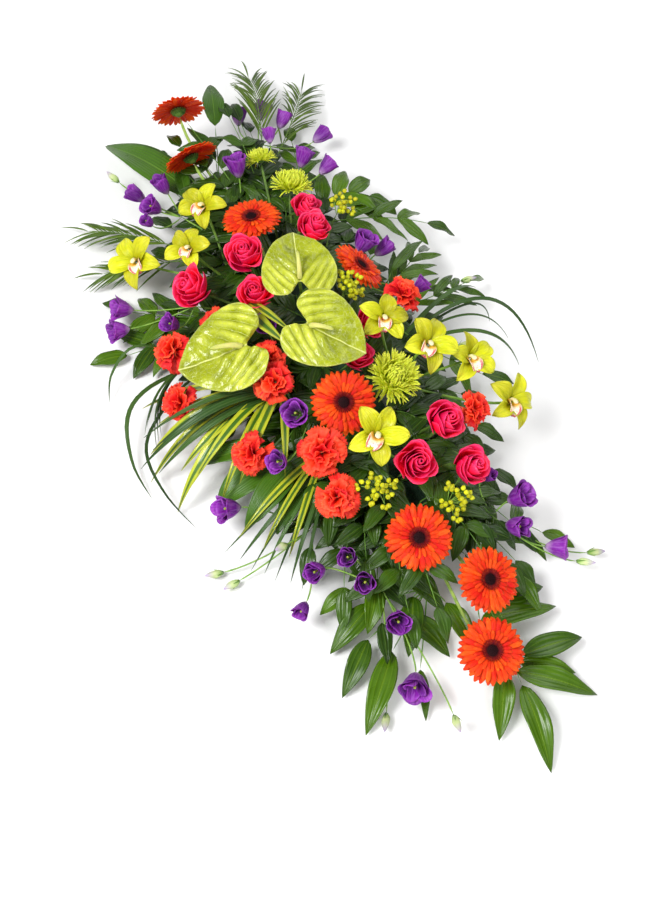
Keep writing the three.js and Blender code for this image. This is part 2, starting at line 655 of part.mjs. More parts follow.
const LISIANTHUS = [
  {
    foot: [-322, 30, 50],
    fork: [-600, 100, 78],
    heads: [
      { at: [-712, 100, 60], face: [-0.8, 0.3, 0.5] },
    ],
  },
  {
    foot: [-262, 32, 44],
    fork: [-430, 110, 110],
    heads: [
      { at: [-578, 112, 118], face: [-0.8, 0.2, 0.55], size: 0.8 },
    ],
  },
  {
    foot: [-290, -6, 40],
    fork: [-420, -20, 135],
    heads: [
      { at: [-448, -20, 190], face: [-0.4, -0.1, 0.9], size: 1.15 },
    ],
  },
  {
    foot: [-318, -26, 50],
    fork: [-440, -140, 90],
    heads: [
      { at: [-506, -156, 122], face: [-0.4, -0.4, 0.8] },
    ],
  },
  {
    foot: [-160, -34, 50],
    fork: [-215, -200, 90],
    heads: [
      { at: [-278, -322, 58], face: [-0.2, -0.9, 0.3] },
    ],
  },
  {
    foot: [-100, 34, 46],
    fork: [-140, 110, 140],
    heads: [
      { at: [-176, 134, 196], face: [-0.1, 0.5, 0.85], size: 1.1 },
    ],
  },
  {
    foot: [252, 34, 44],
    fork: [400, 130, 90],
    heads: [
      { at: [396, 176, 130], face: [0.3, 0.5, 0.8], size: 1.15 },
      { at: [440, 150, 112], face: [0.6, 0.3, 0.7], size: 1.1 },
      { at: [486, 226, 62], face: [0.5, 0.7, 0.3] },
      { at: [522, 262, 46], face: [0.5, 0.8, 0.2], kind: 'bud' },
      { at: [352, 128, 158], face: [0.3, 0.4, 0.85], size: 0.7 },
    ],
  },
  {
    foot: [62, -22, 40],
    fork: [120, -110, 120],
    heads: [
      { at: [140, -150, 196], face: [0.3, -0.5, 0.85], size: 1.1 },
      { at: [200, -205, 160], face: [0.2, -0.7, 0.7], size: 0.9 },
      { at: [-50, -125, 200], face: [0.3, -0.3, 0.9], size: 0.9 },
    ],
  },
  {
    foot: [196, -34, 50],
    fork: [300, -180, 70],
    heads: [
      { at: [212, -300, 78], face: [0, -0.9, 0.4], size: 1.1 },
      { at: [322, -245, 96], face: [0.3, -0.8, 0.5], kind: 'bud' },
      { at: [428, -252, 62], face: [0.6, -0.7, 0.3], size: 0.8 },
    ],
  },
  {
    foot: [318, -24, 52],
    fork: [450, -115, 75],
    heads: [
      { at: [388, -214, 104], face: [0.3, -0.7, 0.6], size: 1.05 },
      { at: [396, -162, 136], face: [0.3, -0.5, 0.8], size: 0.95 },
      { at: [442, -150, 122], face: [0.4, -0.4, 0.8], size: 1.1 },
      { at: [520, -125, 108], face: [0.6, -0.3, 0.75], size: 1.1 },
      { at: [618, -135, 66], face: [0.7, -0.5, 0.4], size: 1.15 },
      { at: [694, -94, 50], face: [0.9, -0.2, 0.3], kind: 'bud' },
    ],
  },
];

const BERRIES = [
  { at: [-38, 26, 262], face: [0.1, 0.2, 0.95], size: 0.9 },
  { at: [-276, 132, 200], face: [-0.2, 0.5, 0.85], size: 0.9 },
  { at: [325, -82, 196], face: [0.4, -0.3, 0.87] },
  { at: [388, 32, 190], face: [0.4, 0.1, 0.9] },
];

function makeBlooms() {
  const gerbera = gerberaHead();
  GERBERAS.forEach((bloom, i) => {
    const parts = onStem(gerbera, bloom, GERBERA_STEM, GERBERA_DEPTH);
    addPlant(`gerbera_${i + 1}`, parts, 0xf0490d, 0.55);
  });
  const anthurium = anthuriumHead();
  ANTHURIUMS.forEach((bloom, i) => {
    const parts = onStem(anthurium, bloom, ANTHURIUM_STEM, ANTHURIUM_DEPTH);
    addPlant(`anthurium_${i + 1}`, parts, 0xbcd63c, 0.25);
  });
  const chrysanthemum = chrysanthemumHead();
  CHRYSANTHEMUMS.forEach((bloom, i) => {
    const parts = onStem(chrysanthemum, bloom, WOODY_STEM, CHRYSANTHEMUM_DEPTH);
    addPlant(`chrysanthemum_${i + 1}`, parts, 0xa6cf3a, 0.6);
  });
  const rose = roseHead();
  ROSE_PAIRS.forEach((pair, i) => {
    const parts = onFork(rose, pair, WOODY_STEM, ROSE_DEPTH, PAIR_FORK);
    addPlant(`roses_${i + 1}`, parts, 0xd5103f, 0.5);
  });
  const carnation = carnationHead();
  CARNATION_PAIRS.forEach((pair, i) => {
    const parts = onFork(carnation, pair, CARNATION_STEM, CARNATION_DEPTH, PAIR_FORK);
    addPlant(`carnations_${i + 1}`, parts, 0xf2502f, 0.7);
  });
}

/** Orchid spikes: blooms on short stalks from one stem. */
function makeOrchids() {
  const head = orchidHead();
  ORCHID_SPIKES.forEach((spike, i) => {
    const parts = onFork(head, spike, WOODY_STEM, ORCHID_DEPTH, SPIKE_FORK);
    addPlant(`orchids_${i + 1}`, parts, 0xc9cf2e, 0.4);
  });
}

function makeSprays() {
  LISIANTHUS.forEach((plan, i) => {
    addPlant(`lisianthus_${i + 1}`, lisianthusSpray(plan), 0x5a2bb0, 0.5);
  });
  BERRIES.forEach((plan, i) => {
    addPlant(`hypericum_${i + 1}`, berrySpray(plan), 0xa9c23a, 0.45);
  });
}

// Foliage: bunches that fork above or beside the foam. A branch runs from the fork over `bend` to `tip`.
// A branch with leaves is a twig that carries them in pairs, one without is a long blade itself.
const FOLIAGE = [
  { name: 'palm_fronds_1', foot: [-318, 8, 44], fork: [-480, 60, 78], colour: 0x3f6b25, branches: [
    { bend: [-680, 140, 128], tip: [-850, 180, 34], leaves: 6, length: 78, angle: 0.45, fine: true },
    { bend: [-640, 210, 100], tip: [-775, 285, 32], leaves: 6, length: 74, angle: 0.5, fine: true }] },
  { name: 'palm_fronds_2', foot: [-250, -30, 50], fork: [-340, -130, 70], colour: 0x3f6b25, branches: [
    { bend: [-430, -230, 90], tip: [-520, -318, 24], leaves: 6, length: 72, angle: 0.5, fine: true },
    { bend: [-360, -240, 70], tip: [-400, -325, 24], leaves: 4, length: 66, angle: 0.5, fine: true }] },
  { name: 'aspidistra_1', foot: [-322, -8, 50], fork: [-420, -60, 72], colour: 0x2f6b2a, branches: [
    { bend: [-600, -130, 100], tip: [-750, -192, 12], width: 80 },
    { bend: [-560, 10, 110], tip: [-676, 26, 112], leaves: 0, length: 96, width: 42 },
    { bend: [-500, -10, 82], tip: [-560, -18, 100], leaves: 0, length: 100, width: 28 }] },
  { name: 'aspidistra_2', foot: [140, -36, 50], fork: [160, -120, 76], colour: 0x24551f, branches: [
    { bend: [165, -240, 104], tip: [184, -304, 36], width: 46 },
    { bend: [214, -216, 138], tip: [256, -272, 64], width: 42 },
    { bend: [232, -182, 120], tip: [290, -236, 80], width: 34 }] },
  { name: 'variegated_straps', foot: [14, -32, 48], fork: [20, -120, 92], colour: 0x7d9a34, branches: [
    { bend: [40, -280, 190], tip: [32, -374, 22], width: 17 },
    { bend: [90, -290, 170], tip: [156, -368, 12], width: 18 },
    { bend: [70, -250, 160], tip: [104, -342, 60], width: 17 },
    { bend: [-40, -250, 120], tip: [-72, -352, 16], width: 15 }] },
  { name: 'grass_right', foot: [20, 34, 46], fork: [20, 110, 90], colour: 0x356128, branches: [
    { bend: [-30, 330, 300], tip: [152, 356, 128], width: 7 },
    { bend: [40, 300, 210], tip: [96, 372, 40], width: 7 },
    { bend: [-60, 260, 180], tip: [-96, 372, 60], width: 8 }] },
  { name: 'grass_left', foot: [-84, -38, 52], fork: [-108, -150, 58], colour: 0x2c5a24, branches: [
    { through: [[-112, -250, 42], [-78, -345, 62], [-34, -394, 54], [40, -410, 22]],
      tip: [112, -400, 8], width: 7 },
    { through: [[-90, -250, 36], [-30, -340, 30], [40, -384, 44], [120, -378, 26]],
      tip: [196, -348, 8], width: 6 },
    { through: [[-150, -240, 44], [-170, -330, 76], [-150, -384, 40]], tip: [-110, -404, 8], width: 6 }] },
  { name: 'ruscus_1', foot: [-286, 34, 50], fork: [-350, 100, 74], colour: 0x3c7a2c, branches: [
    { bend: [-420, 190, 110], tip: [-372, 262, 80], leaves: 2, length: 86, width: 30, angle: 0.7 },
    { bend: [-300, 230, 130], tip: [-262, 350, 84], leaves: 2, length: 92, width: 24, angle: 0.6 },
    { bend: [-540, 170, 60], tip: [-640, 200, 22], leaves: 2, length: 78, width: 26, angle: 0.7 }] },
  { name: 'ruscus_2', foot: [-60, 36, 50], fork: [-80, 130, 74], colour: 0x3c7a2c, branches: [
    { bend: [-160, 230, 120], tip: [-212, 300, 70], leaves: 3, length: 78, width: 22, angle: 0.6 },
    { bend: [-60, 260, 130], tip: [-112, 372, 66], leaves: 2, length: 90, width: 22, angle: 0.5 },
    { bend: [60, 220, 80], tip: [90, 300, 30], leaves: 2, length: 86, width: 28, angle: 0.7 }] },
  { name: 'ruscus_3', foot: [322, 18, 50], fork: [440, 60, 62], colour: 0x35742a, branches: [
    { bend: [570, 70, 64], tip: [706, 50, 18], leaves: 3, length: 114, width: 40, angle: 0.8 },
    { bend: [500, 110, 80], tip: [560, 130, 50], leaves: 1, length: 100, width: 36, angle: 0.6 },
    { bend: [380, 170, 70], tip: [440, 236, 22], leaves: 2, length: 88, width: 24, angle: 0.8 }] },
  { name: 'ruscus_4', foot: [326, -6, 52], fork: [470, -30, 48], colour: 0x35742a, branches: [
    { bend: [540, -40, 60], tip: [590, -46, 34], leaves: 1, length: 104, width: 42, angle: 0.6 },
    { bend: [520, -120, 50], tip: [578, -176, 16], leaves: 2, length: 106, width: 38, angle: 0.7 },
    { bend: [450, -160, 50], tip: [470, -206, 20], leaves: 1, length: 96, width: 34, angle: 0.7 }] },
  { name: 'ruscus_5', foot: [-140, -36, 52], fork: [-180, -120, 66], colour: 0x2c6325, branches: [
    { bend: [-230, -240, 50], tip: [-300, -300, 14], leaves: 2, length: 84, width: 30, angle: 0.8 },
    { bend: [-190, -250, 34], tip: [-200, -345, 12], leaves: 2, length: 88, width: 30, angle: 0.8 }] },
];

/** A leaf blade along a curve; `grow` widens it all round, to test what it would come near. */
function leafBlade(curve, width, grow = 0) {
  const half = width / 2 + grow;
  const deep = BLADE_THICKNESS * 0.8 + grow;
  return spindle({
    curve, at: [0, 0.26, 0.64, 1], wide: [half * 0.9, half * 1.12], deep: [deep, deep * 0.9], sides: 3,
  });
}

/** A narrow leaflet with three sides along a curve. */
function leaflet(curve, grow = 0) {
  const half = LEAFLET_WIDTH / 2 + grow;
  return spindle({ curve, at: [0, 0.45, 1], wide: [half], deep: [BLADE_THICKNESS / 2 + grow], sides: 3 });
}

/** A long blade that arches from a fork: broad leaf, strap or grass. */
function longBlade(curve, width, grow = 0) {
  const half = width / 2;
  const deep = BLADE_THICKNESS / 2 + 0.3 + grow;
  return spindle({
    curve, at: [0, 0.12, 0.38, 0.62, 0.85, 1], deep: [deep * 1.6, deep, deep, deep * 0.8],
    wide: [1.9, half * 0.85, half, half * 0.62].map((size) => size + grow), cup: 0.12,
  });
}

/** The curve of a leaf that leaves a twig sideways and droops a little, never below the surface. */
function leafCurve(from, heading, length, droop) {
  const tip = from.clone().addScaledVector(heading, length);
  tip.z = Math.max(tip.z - droop * length, SURFACE_GAP + 3);
  const bend = from.clone().lerp(tip, 0.5);
  bend.z += length * 0.14;
  return new THREE.QuadraticBezierCurve3(from, bend, tip);
}

/** Where the leaf pairs and the end leaf sit along a twig. */
function nodeShares(leaves) {
  const shares = [];
  for (let i = 0; i < leaves; i += 1) {
    shares.push(0.3 + (0.6 * i) / leaves);
  }
  return [...shares, 0.96];
}

/** A twig and its leaves in pairs, each turned or shortened until it keeps clear of the flowers. */
function twigLeaves(curve, { leaves, length, width, angle, fine }) {
  const blade = (leaf, grow) => (fine ? leaflet(leaf, grow) : leafBlade(leaf, width, grow));
  const shares = nodeShares(leaves);
  const parts = [rod(curve, SIDE_STEM, [0, 0.04, ...shares, 1], 3)];
  for (let i = 0; i < leaves * 2 + 1; i += 1) {
    const isTip = i === leaves * 2;
    const share = shares[Math.floor(i / 2)];
    const tangent = curve.getTangent(share).normalize();
    const from = curve.getPoint(share);
    const side = tangent.clone().cross(vec(0, 0, 1)).normalize().multiplyScalar(i % 2 === 0 ? 1 : -1);
    for (let attempt = 0; attempt < LEAF_ATTEMPTS; attempt += 1) {
      const turn = isTip ? 0 : angle * (0.85 + 0.4 * random());
      const heading = tangent.clone().multiplyScalar(Math.cos(turn)).addScaledVector(side, Math.sin(turn));
      heading.z += 0.22 * (random() - 0.45);
      const size = length * (1 - 0.06 * attempt) * (0.86 + 0.2 * random());
      const leaf = leafCurve(from, heading.normalize(), size, 0.1 + 0.2 * random());
      if (isClear(blade(leaf, FIT_GAP)) && !reachesFoam(leaf)) {
        parts.push(blade(leaf));
        break;
      }
    }
  }
  return parts;
}

/** True where a leaf's curve would run through the foam. */
function reachesFoam(curve) {
  const half = [(FOAM_LENGTH * FOAM_COUNT) / 2 + 4, FOAM_WIDTH / 2 + 6];
  return [0, 0.25, 0.5, 0.75, 1].some((share) => {
    const point = curve.getPoint(share);
    return Math.abs(point.x) < half[0] && Math.abs(point.y) < half[1] && point.z < FOAM_HEIGHT + 8;
  });
}

/** The curve of a branch: one bend, or a longer way through several points. */
function branchCurve(from, { bend, through, tip }) {
  if (bend) {
    return new THREE.QuadraticBezierCurve3(from, vec(...bend), vec(...tip));
  }
  return new THREE.CatmullRomCurve3([from, ...through.map((point) => vec(...point)), vec(...tip)]);
}

/** A bunch of foliage: a trunk from the foam and branches from its fork. */
function foliageBunch({ name, foot, fork, branches }) {
  const base = vec(...foot);
  const node = vec(...fork);
  const parts = [trunk(base, node, THIN_STEM)];
  const from = node.clone().addScaledVector(base.clone().sub(node).normalize(), THIN_STEM * 3);
  branches.forEach((plan) => {
    const curve = branchCurve(from, plan);
    if (plan.leaves === undefined) {
      parts.push(longBlade(curve, plan.width));
      return;
    }
    parts.push(...twigLeaves(curve, plan));
  });
  return parts;
}

function makeFoliage() {
  FOLIAGE.forEach((plan) => {
    addPlant(plan.name, foliageBunch(plan), plan.colour, 0.45);
  });
}

makeBlooms();
makeOrchids();
makeSprays();
makeTray();
makeTapes();
makeFoliage();
makeFoam();

export default spray;
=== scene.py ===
import math
import random

import bpy
from mathutils import Matrix, Quaternion, Vector, noise


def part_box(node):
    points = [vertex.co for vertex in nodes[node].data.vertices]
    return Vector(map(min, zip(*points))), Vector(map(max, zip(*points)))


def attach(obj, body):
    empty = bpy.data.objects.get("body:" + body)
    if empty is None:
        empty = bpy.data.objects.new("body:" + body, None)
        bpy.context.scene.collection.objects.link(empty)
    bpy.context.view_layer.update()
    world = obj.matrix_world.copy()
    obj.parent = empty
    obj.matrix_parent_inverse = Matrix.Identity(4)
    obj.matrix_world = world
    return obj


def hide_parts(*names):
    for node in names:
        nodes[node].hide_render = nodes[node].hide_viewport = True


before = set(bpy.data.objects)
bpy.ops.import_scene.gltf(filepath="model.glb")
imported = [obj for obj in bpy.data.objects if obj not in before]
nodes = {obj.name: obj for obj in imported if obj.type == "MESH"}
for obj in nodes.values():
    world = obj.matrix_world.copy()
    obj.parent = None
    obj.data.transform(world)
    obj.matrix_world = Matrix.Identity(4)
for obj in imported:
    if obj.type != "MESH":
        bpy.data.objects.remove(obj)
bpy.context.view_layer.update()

# The tray: a long open trough, moulded in dark green plastic, that the foam stands in.
# Its skin has a fine moulded grain and is scuffed paler here and there by handling.


class Wire:
    """A socket in a material's node tree. Sums on it add Math nodes."""

    def __init__(self, tree, socket=None):
        self.tree = tree
        self.socket = socket

    def node(self, kind, settings=None, inputs=None, output=0):
        """Any other node: its settings first, then the values or links of its sockets."""
        made = self.tree.nodes.new(kind)
        for name, value in (settings or {}).items():
            if name != "stops":
                setattr(made, name, value)
                continue
            stops = made.color_ramp.elements
            while len(stops) < len(value):
                stops.new(1.0)
            for stop, (place, colour) in zip(stops, value):
                stop.position = place
                stop.color = (*colour, 1.0)
        for name, value in (inputs or {}).items():
            if isinstance(value, Wire):
                self.tree.links.new(value.socket, made.inputs[name])
            else:
                made.inputs[name].default_value = value
        return Wire(self.tree, made.outputs[output])

    def sum(self, operation, first, second=0.0):
        return self.node("ShaderNodeMath", {"operation": operation}, {0: first, 1: second})

    def __add__(self, other):
        return self.sum("ADD", self, other)

    __radd__ = __add__

    def __mul__(self, other):
        return self.sum("MULTIPLY", self, other)

    __rmul__ = __mul__

    def __sub__(self, other):
        return self.sum("SUBTRACT", self, other)

    def __rsub__(self, other):
        return self.sum("SUBTRACT", other, self)

    def __abs__(self):
        return self.sum("ABSOLUTE", self)

    def step(self, low, high):
        """0 below low, 1 above high, and smooth between them."""
        settings = {"interpolation_type": "SMOOTHSTEP"}
        return self.node("ShaderNodeMapRange", settings, {"Value": self, "From Min": low, "From Max": high})

    def ramp(self, *stops):
        """A colour that runs through stops of (place, colour)."""
        return self.node("ShaderNodeValToRGB", {"stops": stops}, {0: self})

    def mix(self, low, high):
        """The colour low where this is 0, and high where it is 1."""
        colours = [c if isinstance(c, Wire) else (*c, 1.0) for c in (low, high)]
        return self.node("ShaderNodeMix", {"data_type": "RGBA"}, {0: self, 6: colours[0], 7: colours[1]}, 2)

    def grain(self, place, scale, detail=2.0):
        """Soft noise from 0 to 1 at a place."""
        inputs = {"Vector": place, "Scale": scale, "Detail": detail}
        return self.node("ShaderNodeTexNoise", None, inputs)

    def bump(self, height, distance):
        """A normal that stands up by distance where height is 1."""
        return self.node("ShaderNodeBump", None, {"Height": height, "Distance": distance})

    def place(self):
        """Where the surface is on the whole spray."""
        return self.node("ShaderNodeTexCoord", output="Object")

    def edges(self):
        """How far across and along its own blade the surface is."""
        spot = self.node("ShaderNodeTexCoord", output="UV")
        return [self.node("ShaderNodeSeparateXYZ", None, {0: spot}, axis) for axis in (0, 1)]

    def tint(self):
        """The value that the blade carries: its own shade, or how near its rim is."""
        return self.node("ShaderNodeAttribute", {"attribute_name": "tint"}, output="Fac")


def finish(name, paint):
    """A material: paint gets the tree's start and gives the values or links of its shader's sockets."""
    material = bpy.data.materials.new(name)
    material.use_nodes = True
    tree = material.node_tree
    shader = tree.nodes["Principled BSDF"]
    for socket, value in paint(Wire(tree)).items():
        if isinstance(value, Wire):
            tree.links.new(value.socket, shader.inputs[socket])
        else:
            shader.inputs[socket].default_value = value
    return material


def tray_plastic(start):
    place = start.place()
    scuff = start.grain(place, 60.0, 6.0).step(0.56, 0.72)
    skin = start.grain(place, 900.0)
    return {
        "Base Color": scuff.mix((0.008, 0.035, 0.012), (0.03, 0.075, 0.035)),
        "Roughness": 0.28 + 0.25 * scuff,
        "Normal": start.bump(skin, 0.0002),
        "Coat Weight": 0.2,
    }


tray = nodes["tray"]
tray.data.materials.clear()
tray.data.materials.append(finish("tray_plastic", tray_plastic))

# Floral foam: three soaked bricks of open, crumbly green foam, bevelled along the top.
# They are cut square, pricked by stems and darker where they hold water.


def wet_foam(start):
    place = start.place()
    cells = start.node("ShaderNodeTexVoronoi", None, {"Vector": place, "Scale": 700.0})
    wet = start.grain(place, 14.0, 4.0).step(0.35, 0.7)
    return {
        "Base Color": (wet * 0.8 + cells * 0.4).mix((0.03, 0.085, 0.035), (0.008, 0.035, 0.014)),
        "Roughness": 0.95 - 0.3 * wet,
        "Normal": start.bump(cells + start.grain(place, 160.0, 5.0), 0.0012),
    }


foam_finish = finish("wet_foam", wet_foam)
for number in (1, 2, 3):
    brick = nodes[f"foam_brick_{number}"]
    brick.data.materials.clear()
    brick.data.materials.append(foam_finish)

# Anchor tape: two strips of waterproof woven tape over the foam and down the tray's walls.
# Each is pressed on by hand, with a fine weave and a dull wax finish.


def waxed_tape(start):
    place = start.place()
    threads = start.node("ShaderNodeTexWave", {"bands_direction": "X"}, {"Vector": place, "Scale": 700.0})
    wear = start.grain(place, 90.0, 4.0)
    return {
        "Base Color": wear.mix((0.01, 0.05, 0.016), (0.035, 0.11, 0.04)),
        "Roughness": 0.35 + 0.3 * wear,
        "Normal": start.bump(threads, 0.0002),
    }


tape_finish = finish("waxed_tape", waxed_tape)
for number in (1, 2):
    tape = nodes[f"anchor_tape_{number}"]
    tape.data.materials.clear()
    tape.data.materials.append(tape_finish)

# Gerberas: large single blooms with rows of strap-shaped rays round a dark, velvety eye, and a
# green cup of bracts behind. Each stands on its own thick, downy stem, pushed straight into the foam.
FOAM_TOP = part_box("foam_brick_2")[1].z
FOAM_HALF_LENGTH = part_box("foam_brick_3")[1].x
FOAM_HALF_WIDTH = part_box("foam_brick_2")[1].y
GERBERA_RADIUS = 0.058
GERBERA_EYE = 0.0095
GERBERA_STEM = 0.003
GERBERA_DEPTH = 0.016
GERBERA_STUDS = 70
GERBERA_RING_RAYS = 30
GERBERA_BRACTS = 18
RING_RAY = (0.0090, 0.0027)
BRACT_WIDTH = 0.0036
PETAL_WALL = 0.0005
# Rows of rays from the lowest up: count, start, share of the radius, width, rise and droop.
GERBERA_ROWS = [
    (31, 0.014, 1.00, 0.0102, 0.000, 0.006),
    (29, 0.013, 0.93, 0.0094, 0.008, 0.007),
    (24, 0.012, 0.60, 0.0060, 0.011, 0.006),
]
GERBERA_DOME = [(0, 0.004), (0.005, 0.0038), (0.0095, 0.002), (0.013, -0.002), (0.008, -0.006), (0, -0.008)]
GERBERA_STUD = [(0, 0.0024), (0.0008, 0.0015), (0.0007, 0), (0, -0.001)]
GERBERA_CUP = [
    (0, -0.003), (0.011, -0.0025), (0.012, -0.005), (0.010, -0.010), (0.006, -0.015), (0, -0.0175),
]
# Each bloom: its middle, the way it faces, and its size.
GERBERAS = [
    ((-0.680, -0.055, 0.140), (-0.93, 0.1, 0.35), 1.0),
    ((-0.530, -0.085, 0.155), (-0.9, -0.12, 0.4), 1.0),
    ((-0.280, -0.060, 0.222), (-0.2, -0.1, 0.97), 1.0),
    ((-0.095, 0.080, 0.236), (0, 0.56, 0.83), 0.95),
    ((0.165, -0.075, 0.226), (0.42, -0.3, 0.86), 1.0),
    ((0.422, -0.050, 0.175), (0.4, -0.25, 0.88), 1.0),
    ((0.520, 0.040, 0.140), (0.35, 0.1, 0.93), 1.0),
    ((0.622, -0.002, 0.104), (0.3, -0.1, 0.95), 1.0),
]
# Where stems stand in the foam: clear of its ends and sides, and deeper under the taller flowers.
FOOT_MARGIN = 0.022
FOOT_ASIDE = 0.038
FOOT_HEIGHT = 0.054
FOOT_DROP = 0.022
UP = Vector((0, 0, 1))
GOLDEN_ANGLE = math.pi * (3 - math.sqrt(5))
draw = random.Random(2613)
grids = {}


def petal_finish(name, root, body, tip, vein, veins=9.0, streak=0.35, gloss=0.45, soft=0.12, rim=0.5):
    """Petal skin: its colour runs from root to tip, with fine veins along it and a tint of its own. In the
    blooms, a root colour darker than the body is painted shade deep among the petals.
    """

    def paint(start):
        across, along = start.edges()
        place = start.place()
        tint = start.tint()
        lines = start.node("ShaderNodeCombineXYZ", None, {0: across * veins, 1: along * 1.5, 2: tint * 30.0})
        fibre = start.grain(lines, 2.0, 2.0).step(0.35, 0.7)
        patch = start.grain(place, 45.0, 2.0)
        # Painted shade: a root colour darker than the body stands for the shade deep in the bloom.
        base = (along + (patch - 0.5) * 0.25).ramp((0.0, root), (0.45, body), (rim, body), (1.0, tip))
        veined = (fibre * streak).mix(base, vein)
        shade = {"Hue": 0.494 + tint * 0.012, "Value": 0.78 + tint * 0.44, "Color": veined}
        return {
            "Base Color": start.node("ShaderNodeHueSaturation", None, shade),
            "Roughness": gloss + 0.12 * fibre,
            "Specular IOR Level": 0.22,
            "Normal": start.bump(fibre, 0.0006),
            "Subsurface Weight": soft,
            "Subsurface Radius": (0.006, 0.003, 0.002),
            "Subsurface Scale": 1.0,
        }

    return finish(name, paint)


def stem_finish(name, light, dark, gloss=0.45):
    """Stem skin: pale and dark streaks along the stem."""

    def paint(start):
        place = start.place()
        streak = start.grain(place, 70.0, 5.0)
        return {
            "Base Color": streak.step(0.3, 0.7).mix(dark, light),
            "Roughness": gloss + 0.2 * streak,
            "Specular IOR Level": 0.3,
            "Normal": start.bump(streak, 0.0008),
        }

    return finish(name, paint)


def shaded(piece, tint, material):
    """Gives a part its own tint, its material and smooth shading."""
    mesh = piece.data
    layer = mesh.attributes.new("tint", "FLOAT", "POINT")
    layer.data.foreach_set("value", [tint] * len(mesh.vertices))
    mesh.materials.append(material)
    mesh.polygons.foreach_set("use_smooth", [True] * len(mesh.polygons))
    return piece


def sheet(columns, rows, form, material, place=Matrix(), tint=0.5):
    """An open blade: a grid whose points (-1 to 1 across, 0 to 1 along) go where form says."""
    if (columns, rows) not in grids:
        bpy.ops.mesh.primitive_grid_add(x_subdivisions=columns, y_subdivisions=rows, size=2, calc_uvs=True)
        grids[columns, rows] = bpy.context.object.data
        bpy.data.objects.remove(bpy.context.object)
    mesh = grids[columns, rows].copy()
    for vertex in mesh.vertices:
        vertex.co = form(vertex.co.x, (vertex.co.y + 1) / 2)
    mesh.transform(place)
    piece = bpy.data.objects.new("blade", mesh)
    bpy.context.scene.collection.objects.link(piece)
    return shaded(piece, tint, material)


def choose(pieces):
    """Selects these pieces alone, the first of them active."""
    bpy.ops.object.select_all(action="DESELECT")
    for piece in pieces:
        piece.select_set(True)
    bpy.context.view_layer.objects.active = pieces[0]


def together(pieces):
    """Joins pieces into the first of them."""
    choose(pieces)
    if len(pieces) > 1:
        bpy.ops.object.join()
    return pieces[0]


def thickened(pieces, thickness):
    """Joins open blades and gives them a wall."""
    blades = together(pieces)
    wall = blades.modifiers.new("wall", "SOLIDIFY")
    wall.thickness = thickness
    wall.offset = 0.0
    bpy.ops.object.modifier_apply(modifier="wall")
    return blades


def tube(sides, rows, form, material, place=Matrix(), tint=0.5):
    """A closed skin: form's across goes once round, and its two ends close to a point."""
    piece = sheet(sides, rows, lambda across, along: form(math.pi * across, along), material, place, tint)
    choose([piece])
    bpy.ops.object.mode_set(mode="EDIT")
    bpy.ops.mesh.select_all(action="SELECT")
    bpy.ops.mesh.remove_doubles(threshold=1e-6)
    bpy.ops.mesh.normals_make_consistent(inside=False)
    bpy.ops.object.mode_set(mode="OBJECT")
    return piece


def turned(sides, profile, material, place=Matrix(), tint=0.5):
    """A closed skin turned about +Z through (radius, height) points from one pole to the other."""

    def form(angle, along):
        radius, height = profile[round(along * (len(profile) - 1))]
        return Vector((radius * math.cos(angle), radius * math.sin(angle), height))

    return tube(sides, len(profile) - 1, form, material, place, tint)


def facing(at, face, spin=0.0, size=1.0):
    """Turns +Z to face, spun about it, scaled and moved to at."""
    turn = UP.rotation_difference(Vector(face)) @ Quaternion(UP, spin)
    return Matrix.LocRotScale(Vector(at), turn, Vector((size, size, size)))


def about(angle):
    """A turn about +Z."""
    return Matrix.Rotation(angle, 4, "Z")


def square_to(start, end):
    """A direction square to a bend, or to a straight line, so that a stem doesn't twist."""
    bend = start.cross(end)
    if bend.length > 0.05:
        return bend.normalized()
    helper = Vector((1, 0, 0)) if abs(start.z) > 0.8 else UP
    return start.cross(helper).normalized()


def heading_of(route, share):
    """The way a route runs at a share of its length."""
    low = max(share - 0.01, 0.0)
    return (route(low + 0.02) - route(low)).normalized()


def stem(route, radius, material, rows=10, sides=8, taper=0.0):
    """A round stem along a route, its tips closed."""
    up = square_to(heading_of(route, 0.0), heading_of(route, 0.98))

    def form(angle, along):
        along = 0.5 - 0.5 * math.cos(math.pi * along) if rows < 4 else along
        closing = min(1.0, along * 40, (1 - along) * 40)
        size = radius * closing * (1 - taper * along)
        heading = heading_of(route, along)
        side = heading.cross(up).normalized()
        over = side.cross(heading)
        return route(along) + side * size * math.cos(angle) + over * size * math.sin(angle)

    return tube(sides, rows, form, material)


def arc(start, bend, end):
    """A curve with one bend."""
    return lambda share: start.lerp(bend, share).lerp(bend.lerp(end, share), share)


def foot_under(at, foot_x=None):
    """Where a stem stands in the foam: drawn in under its flower, or at its own place along the foam."""
    reach = FOAM_HALF_LENGTH - FOOT_MARGIN
    x = at.x * 0.5 if foot_x is None else foot_x
    y = min(max(at.y * 0.17, -FOOT_ASIDE), FOOT_ASIDE)
    deeper = min(max((at.z - 0.06) / 0.12, 0), 1)
    return Vector((min(max(x, -reach), reach), y, FOOT_HEIGHT - FOOT_DROP * deeper))


def standing_route(foot, end, look):
    """A stem's way: straight out of the foam, then in a bend to the back of its flower."""
    heading = end - foot
    heading.z = max(heading.z, 0) + (end - foot).length * 0.25
    heading.normalize()
    ways = [
        (math.copysign(FOAM_HALF_LENGTH, heading.x) - foot.x) / heading.x if heading.x else 9,
        (math.copysign(FOAM_HALF_WIDTH, heading.y) - foot.y) / heading.y if heading.y else 9,
        (FOAM_TOP - foot.z) / heading.z,
    ]
    leave = foot + heading * (min(way for way in ways if way > 0) + 0.006)
    reach = (end - leave).length
    first = leave + heading * reach * 0.35
    second = end - look * reach * 0.3
    straight = (leave - foot).length / ((leave - foot).length + reach)

    def route(share):
        if share < straight:
            return foot.lerp(leave, share / straight)
        share = (share - straight) / (1 - straight)
        inner = arc(leave, first, second)(share)
        return inner.lerp(arc(first, second, end)(share), share)

    return route


